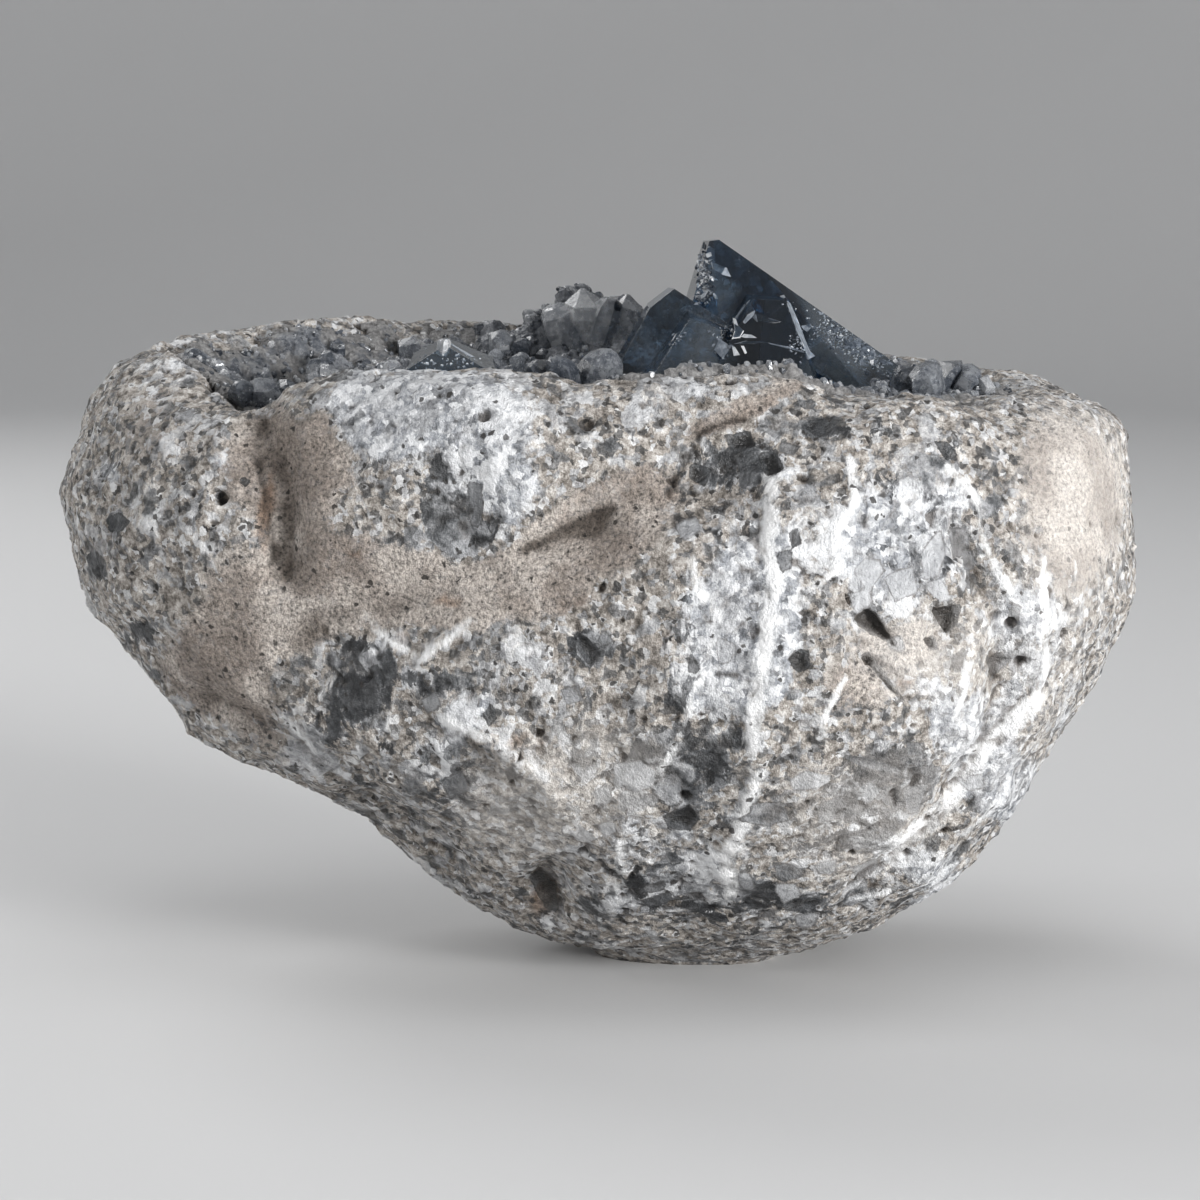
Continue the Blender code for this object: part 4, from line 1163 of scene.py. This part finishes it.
def make_large(name, node, low, high):
    """Large clear crystals, with their edges a little worn."""
    crystal = welded_copy(name, node)
    whole = crystal.modifiers.new("whole", "DECIMATE")
    whole.decimate_type = "DISSOLVE"
    whole.angle_limit = math.radians(1)
    worn = crystal.modifiers.new("worn", "BEVEL")
    worn.width = WORN_EDGE * MM
    worn.segments = 2
    worn.limit_method = "ANGLE"
    worn.angle_limit = math.radians(LEAST_BEND)
    worn.use_clamp_overlap = True
    applied(crystal)
    divided(crystal, LONGEST_SIDE)
    mesh = crystal.data
    points = mesh_points(mesh)
    across, down = picture_places(points)
    # The haze value is lowered by painted shade where the crystals look darkest.
    haze_and_painted_shade = patches(across, down, HAZE_FRONT) - 1.5 * patches(across, down, PAINTED_SHADE_ON_CRYSTALS)
    set_values(mesh, "haze_and_painted_shade", haze_and_painted_shade + 0.25)
    points = np.clip(points, np.array(low) / MM + CRYSTAL_GAP, np.array(high) / MM - CRYSTAL_GAP)
    place_points(mesh, points)
    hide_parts(node)
    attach(crystal, "root")
    return crystal


def camera_ray(across, down):
    """From where and which way the camera looks through a pixel of the 1200-pixel picture."""
    up = Vector(CAMERA_UP)
    pixel = VIEW_WIDTH / MM / PICTURE
    target = CAMERA_TARGET / MM
    eye = target + Vector(CAMERA_BACK) * (CAMERA_DISTANCE / MM)
    target = target + Vector((1, 0, 0)) * (across - PICTURE / 2) * pixel + up * (PICTURE / 2 - down) * pixel
    return eye, (target - eye).normalized()


def first_seen(trees, across, down):
    """What the camera sees through a pixel: place, normal, face and distance, or None."""
    eye, way = camera_ray(across, down)
    hits = [tree.ray_cast(eye, way) for tree in trees]
    hits = [hit for hit in hits if hit[0] is not None]
    return min(hits, key=lambda hit: hit[3]) if hits else None


def make_glints(large):
    """Painted reflections, as pale flashes, and crumbs of broken spar on the large crystals. A flash that
    isn't wholly on one of them is left out."""
    rng = random.Random(SEED + 1)
    trees = [search_tree(obj) for obj in large]
    bodies = []
    # Each flash is a thin piece whose pale tone is a painted reflection.
    for tone, corners in PAINTED_REFLECTIONS:
        hits = [first_seen(trees, *corner) for corner in corners]
        if all(hit is not None for hit in hits):
            lower = [tuple(hit[0] - hit[1] * FLASH_DEPTH) for hit in hits]
            upper = [tuple(hit[0] + hit[1] * FLASH_HEIGHT) for hit in hits]
            rings = [lower, upper] if sum_of_turns(corners) < 0 else [lower[::-1], upper[::-1]]
            bodies.append((rings, Matrix.Identity(4), tone))
    for middle, reach, turn, count, sizes, long, tone in CRUMBS:
        angle = math.radians(turn)
        for _ in range(count):
            u = rng.gauss(0, 0.5) * reach[0]
            v = rng.gauss(0, 0.5) * reach[1]
            across = middle[0] + u * math.cos(angle) + v * math.sin(angle)
            down = middle[1] - u * math.sin(angle) + v * math.cos(angle)
            hit = first_seen(trees, across, down)
            if hit is None:
                continue
            size = rng.uniform(*sizes)
            up = (hit[1] + Vector([rng.gauss(0, 0.25) for _ in range(3)])).normalized()
            side = size / 2
            sides = rng.choice((3, 4, 5))
            outline = []
            for step in range(sides):
                around = math.tau * (step + rng.uniform(-0.3, 0.3)) / sides
                far = side * rng.uniform(0.6, 1.2)
                outline.append((far * long * math.cos(around), far * math.sin(around)))
            thick = 0.06 + 0.10 * size
            rings = [ring(outline, 1, 1, (0, 0), -0.3), ring(outline, 0.75, 0.75, (0, 0), thick)]
            matrix = stand(hit[0], up, rng.gauss(0, 0.5))
            bodies.append((rings, matrix, tone + rng.gauss(0, 0.12)))
    return joined("spar_crumbs_and_painted_glints", bodies)


def ring(outline, scale_x, scale_y, middle, height):
    return [(middle[0] + x * scale_x, middle[1] + y * scale_y, height) for x, y in outline]


def crystal_rings(rng, width, height):
    """A small crystal that stands on the origin, as rings from its foot to its tip."""
    half = width / 2
    sides = rng.choice((4, 5, 6, 6, 7))
    outline = []
    for step in range(sides):
        angle = math.tau * (step + rng.uniform(-0.22, 0.22)) / sides
        outline.append((half * math.cos(angle), half * rng.uniform(0.8, 1.0) * math.sin(angle)))
    long = rng.uniform(0.75, 1.3)
    outline = [(x * long, y) for x, y in outline]
    slant = rng.uniform(-0.4, 0.4) * half, rng.uniform(-0.4, 0.4) * half
    blunt = rng.uniform(0.15, 0.6)
    levels = (
        (1.0, -0.5 * width - 0.4),
        (1.0, height * rng.uniform(0.1, 0.4)),
        (0.80 + 0.15 * blunt, height * rng.uniform(0.55, 0.75)),
        (blunt, height * 0.94),
        (0.5 * blunt, height),
    )
    rings = []
    for scale, level in levels:
        middle = slant[0] * (1 - scale), slant[1] * (1 - scale)
        rings.append(ring(outline, scale, scale, middle, level))
    return rings


def close_rings(rings, start):
    """The faces of a closed body through those rings, whose points are numbered from start."""
    count = len(rings[0])
    faces = [tuple(start + step for step in reversed(range(count)))]
    for level in range(len(rings) - 1):
        low = start + level * count
        for step in range(count):
            after = (step + 1) % count
            faces.append((low + step, low + after, low + count + after, low + count + step))
    last = start + (len(rings) - 1) * count
    faces.append(tuple(last + step for step in range(count)))
    return faces


def stand(place, up, turn):
    """The matrix that stands a crystal on a place, with its axis along up."""
    turned = Matrix.Rotation(turn, 4, "Z")
    return Matrix.Translation(place) @ up.to_track_quat("Z", "Y").to_matrix().to_4x4() @ turned


def joined(name, bodies):
    """One piece from many closed bodies: each has its rings, its matrix and its tone from 0 to 1."""
    points = []
    faces = []
    tones = []
    for rings, matrix, tone in bodies:
        faces.extend(close_rings(rings, len(points)))
        for level in rings:
            points.extend((matrix @ Vector(point)) * MM for point in level)
        tones.extend([tone] * (len(rings) * len(rings[0])))
    mesh = bpy.data.meshes.new(name)
    mesh.from_pydata(points, [], faces)
    set_values(mesh, "tone", tones)
    piece = new_object(name, mesh)
    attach(piece, "root")
    print(name, len(bodies), "bodies,", sum(len(face) - 2 for face in faces), "triangles")
    return piece


def search_tree(obj):
    """The object's surface, in millimetres, for finding places on it."""
    points = [vertex.co / MM for vertex in obj.data.vertices]
    return BVHTree.FromPolygons(points, [tuple(face.vertices) for face in obj.data.polygons])


def bed_places(tree, reach, step, rng):
    """Places on the upper side of a surface, about a step apart, with its normal there."""
    places = []
    x = -reach[0]
    while x < reach[0]:
        y = -reach[1]
        while y < reach[1]:
            across = x + rng.uniform(-0.5, 0.5) * step
            deep = y + rng.uniform(-0.5, 0.5) * step
            place, normal = tree.ray_cast(Vector((across, deep, DROP_HEIGHT)), Vector((0, 0, -1)))[:2]
            if place is not None:
                places.append((place, normal))
            y += step
        x += step
    return places


def make_druse(crust, stone, large):
    """The small crystals on the crust: those that stand out, strewn ones and very fine ones."""
    rng = random.Random(SEED)
    crust_tree = search_tree(crust)
    stone_tree = search_tree(stone)
    large_trees = [search_tree(obj) for obj in large]

    def is_free(place, room):
        return all(tree.find_nearest(place)[3] > room for tree in large_trees)

    def crystal(place, up, width, height, tone):
        turn = rng.uniform(0, math.tau)
        return crystal_rings(rng, width, height), stand(place, up, turn), min(1.0, max(0.0, tone))

    bodies = []
    taken = []
    for across, down, width, height, tone, right, front in CHOSEN:
        hit = first_seen((crust_tree, *large_trees), across, down)
        if hit is not None:
            place = hit[0]
            up = Vector((right, -front, 1)).normalized()
            taken.append((place, width))
            bodies.append(crystal(place, up, width, height, tone))
    for place, normal in sorted(bed_places(crust_tree, *STREWN, rng), key=lambda _: rng.random()):
        size = 0.5 + 0.5 * noise.noise(place / 16 + Vector((3, 9, 1)))
        width = rng.uniform(1.8, 3.2) + 3.2 * size * rng.random() ** 2
        to_rim = stone_tree.find_nearest(place)[3]
        if to_rim < BARE_RIM or rng.random() < 0.45:
            continue
        if any((place - other).length < 0.5 * (width + wide) for other, wide in taken):
            continue
        height = width * rng.uniform(0.25, 0.55) * min(1.0, 0.3 + to_rim / 12)
        lean = Vector((rng.gauss(0, 0.38), rng.gauss(0, 0.38), rng.gauss(0, 0.2)))
        up = (normal * 0.5 + Vector((0, 0, 0.8)) + lean).normalized()
        if is_free(place, 0.45 * width) and is_free(place + up * height, 0.5):
            taken.append((place, width))
            tone = rng.gauss(0.42, 0.12) - 0.3 * noise.noise(place / 18)
            bodies.append(crystal(place, up, width, height, tone))
    druse = joined("druse", bodies)

    bodies = []
    for place, normal in bed_places(crust_tree, *FINE_STREWN, rng):
        if rng.random() < 0.55 or normal.z < 0.15:
            continue
        width = rng.uniform(0.5, 1.5)
        height = width * rng.uniform(0.3, 0.8)
        lean = Vector((rng.gauss(0, 0.4), rng.gauss(0, 0.4), rng.gauss(0, 0.3)))
        up = (normal + Vector((0, 0, 0.3)) + lean).normalized()
        if is_free(place, 0.5):
            bodies.append(crystal(place, up, width, height, rng.gauss(0.48, 0.2)))
    return druse, joined("druse_fine", bodies)


def aim(obj, target, way, distance):
    """Puts a camera or a lamp that far from its target, and turns it to the target."""
    obj.location = target + way * distance
    obj.rotation_mode = "QUATERNION"
    obj.rotation_quaternion = (-way).to_track_quat("-Z", "Y")


def make_camera():
    data = bpy.data.cameras.new("camera")
    data.sensor_width = SENSOR_WIDTH
    data.lens = SENSOR_WIDTH * CAMERA_DISTANCE / VIEW_WIDTH
    camera = new_object("camera", data)
    aim(camera, CAMERA_TARGET, Vector(CAMERA_BACK), CAMERA_DISTANCE)
    bpy.context.scene.camera = camera


def make_floor():
    """A pale floor that curves up into a backdrop all round."""
    profile = [(0.5, 0.0), (1.0, 0.0), (FLOOR_REACH, 0.0)]
    for step in range(1, CURVE_STEPS + 1):
        angle = math.radians(90 * step / CURVE_STEPS)
        out = FLOOR_REACH + BACKDROP_CURVE * math.sin(angle)
        profile.append((out, BACKDROP_CURVE - BACKDROP_CURVE * math.cos(angle)))
    profile.append((FLOOR_REACH + BACKDROP_CURVE, BACKDROP_TOP))
    bm = bmesh.new()
    rings = []
    for distance, height in profile:
        points = []
        for step in range(FLOOR_SIDES):
            angle = math.tau * step / FLOOR_SIDES
            points.append(bm.verts.new((distance * math.cos(angle), distance * math.sin(angle), height)))
        rings.append(points)
    bm.faces.new(rings[0])
    for inner, outer in zip(rings, rings[1:]):
        for step in range(FLOOR_SIDES):
            after = (step + 1) % FLOOR_SIDES
            bm.faces.new((inner[step], outer[step], outer[after], inner[after]))
    mesh = bpy.data.meshes.new("floor")
    bm.to_mesh(mesh)
    bm.free()
    mesh.shade_smooth()
    floor = new_object("floor", mesh)
    material, _, shader = new_material("floor")
    shader.inputs["Base Color"].default_value = (0.66, 0.66, 0.66, 1.0)
    shader.inputs["Roughness"].default_value = 0.9
    set_material(floor, material)


def area_light(name, azimuth, elevation, distance, size, power):
    """A square lamp that looks at the geode; its azimuth runs from the camera's side to the right."""
    data = bpy.data.lights.new(name, "AREA")
    data.shape = "SQUARE"
    data.size = size
    data.energy = power
    lamp = new_object(name, data)
    lamp.visible_camera = False
    around = math.radians(azimuth)
    above = math.radians(elevation)
    way = Vector((math.sin(around) * math.cos(above), -math.cos(around) * math.cos(above), math.sin(above)))
    aim(lamp, LIT_POINT, way, distance)


def make_light():
    world = bpy.data.worlds.new("studio")
    world.use_nodes = True
    background = world.node_tree.nodes["Background"]
    background.inputs["Color"].default_value = (0.94, 0.96, 1.0, 1.0)
    background.inputs["Strength"].default_value = 0.30
    bpy.context.scene.world = world
    bpy.context.scene.view_settings.view_transform = "Standard"
    for lamp in LAMPS:
        area_light(*lamp)


def main():
    low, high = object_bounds()
    stone = make_stone(low, high)
    set_material(stone, stone_material())
    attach(stone, "root")
    crust = make_crust(stone)
    set_material(crust, crust_material())
    cluster = make_large("blades", "large_crystals", low, high)
    set_material(cluster, crystal_material("clear_celestite", 0.02, (0.36, 0.54, 0.68), 105.0))
    pyramid = make_large("pyramid", "pyramid_crystal", low, high)
    set_material(pyramid, crystal_material("pyramid_celestite", 0.05, (0.36, 0.54, 0.68), 90.0))
    set_material(make_glints((cluster, pyramid)), crumb_and_painted_glint_material())
    for piece in make_druse(crust, stone, (cluster, pyramid)):
        set_material(piece, druse_material())
    make_camera()
    make_floor()
    make_light()


main()
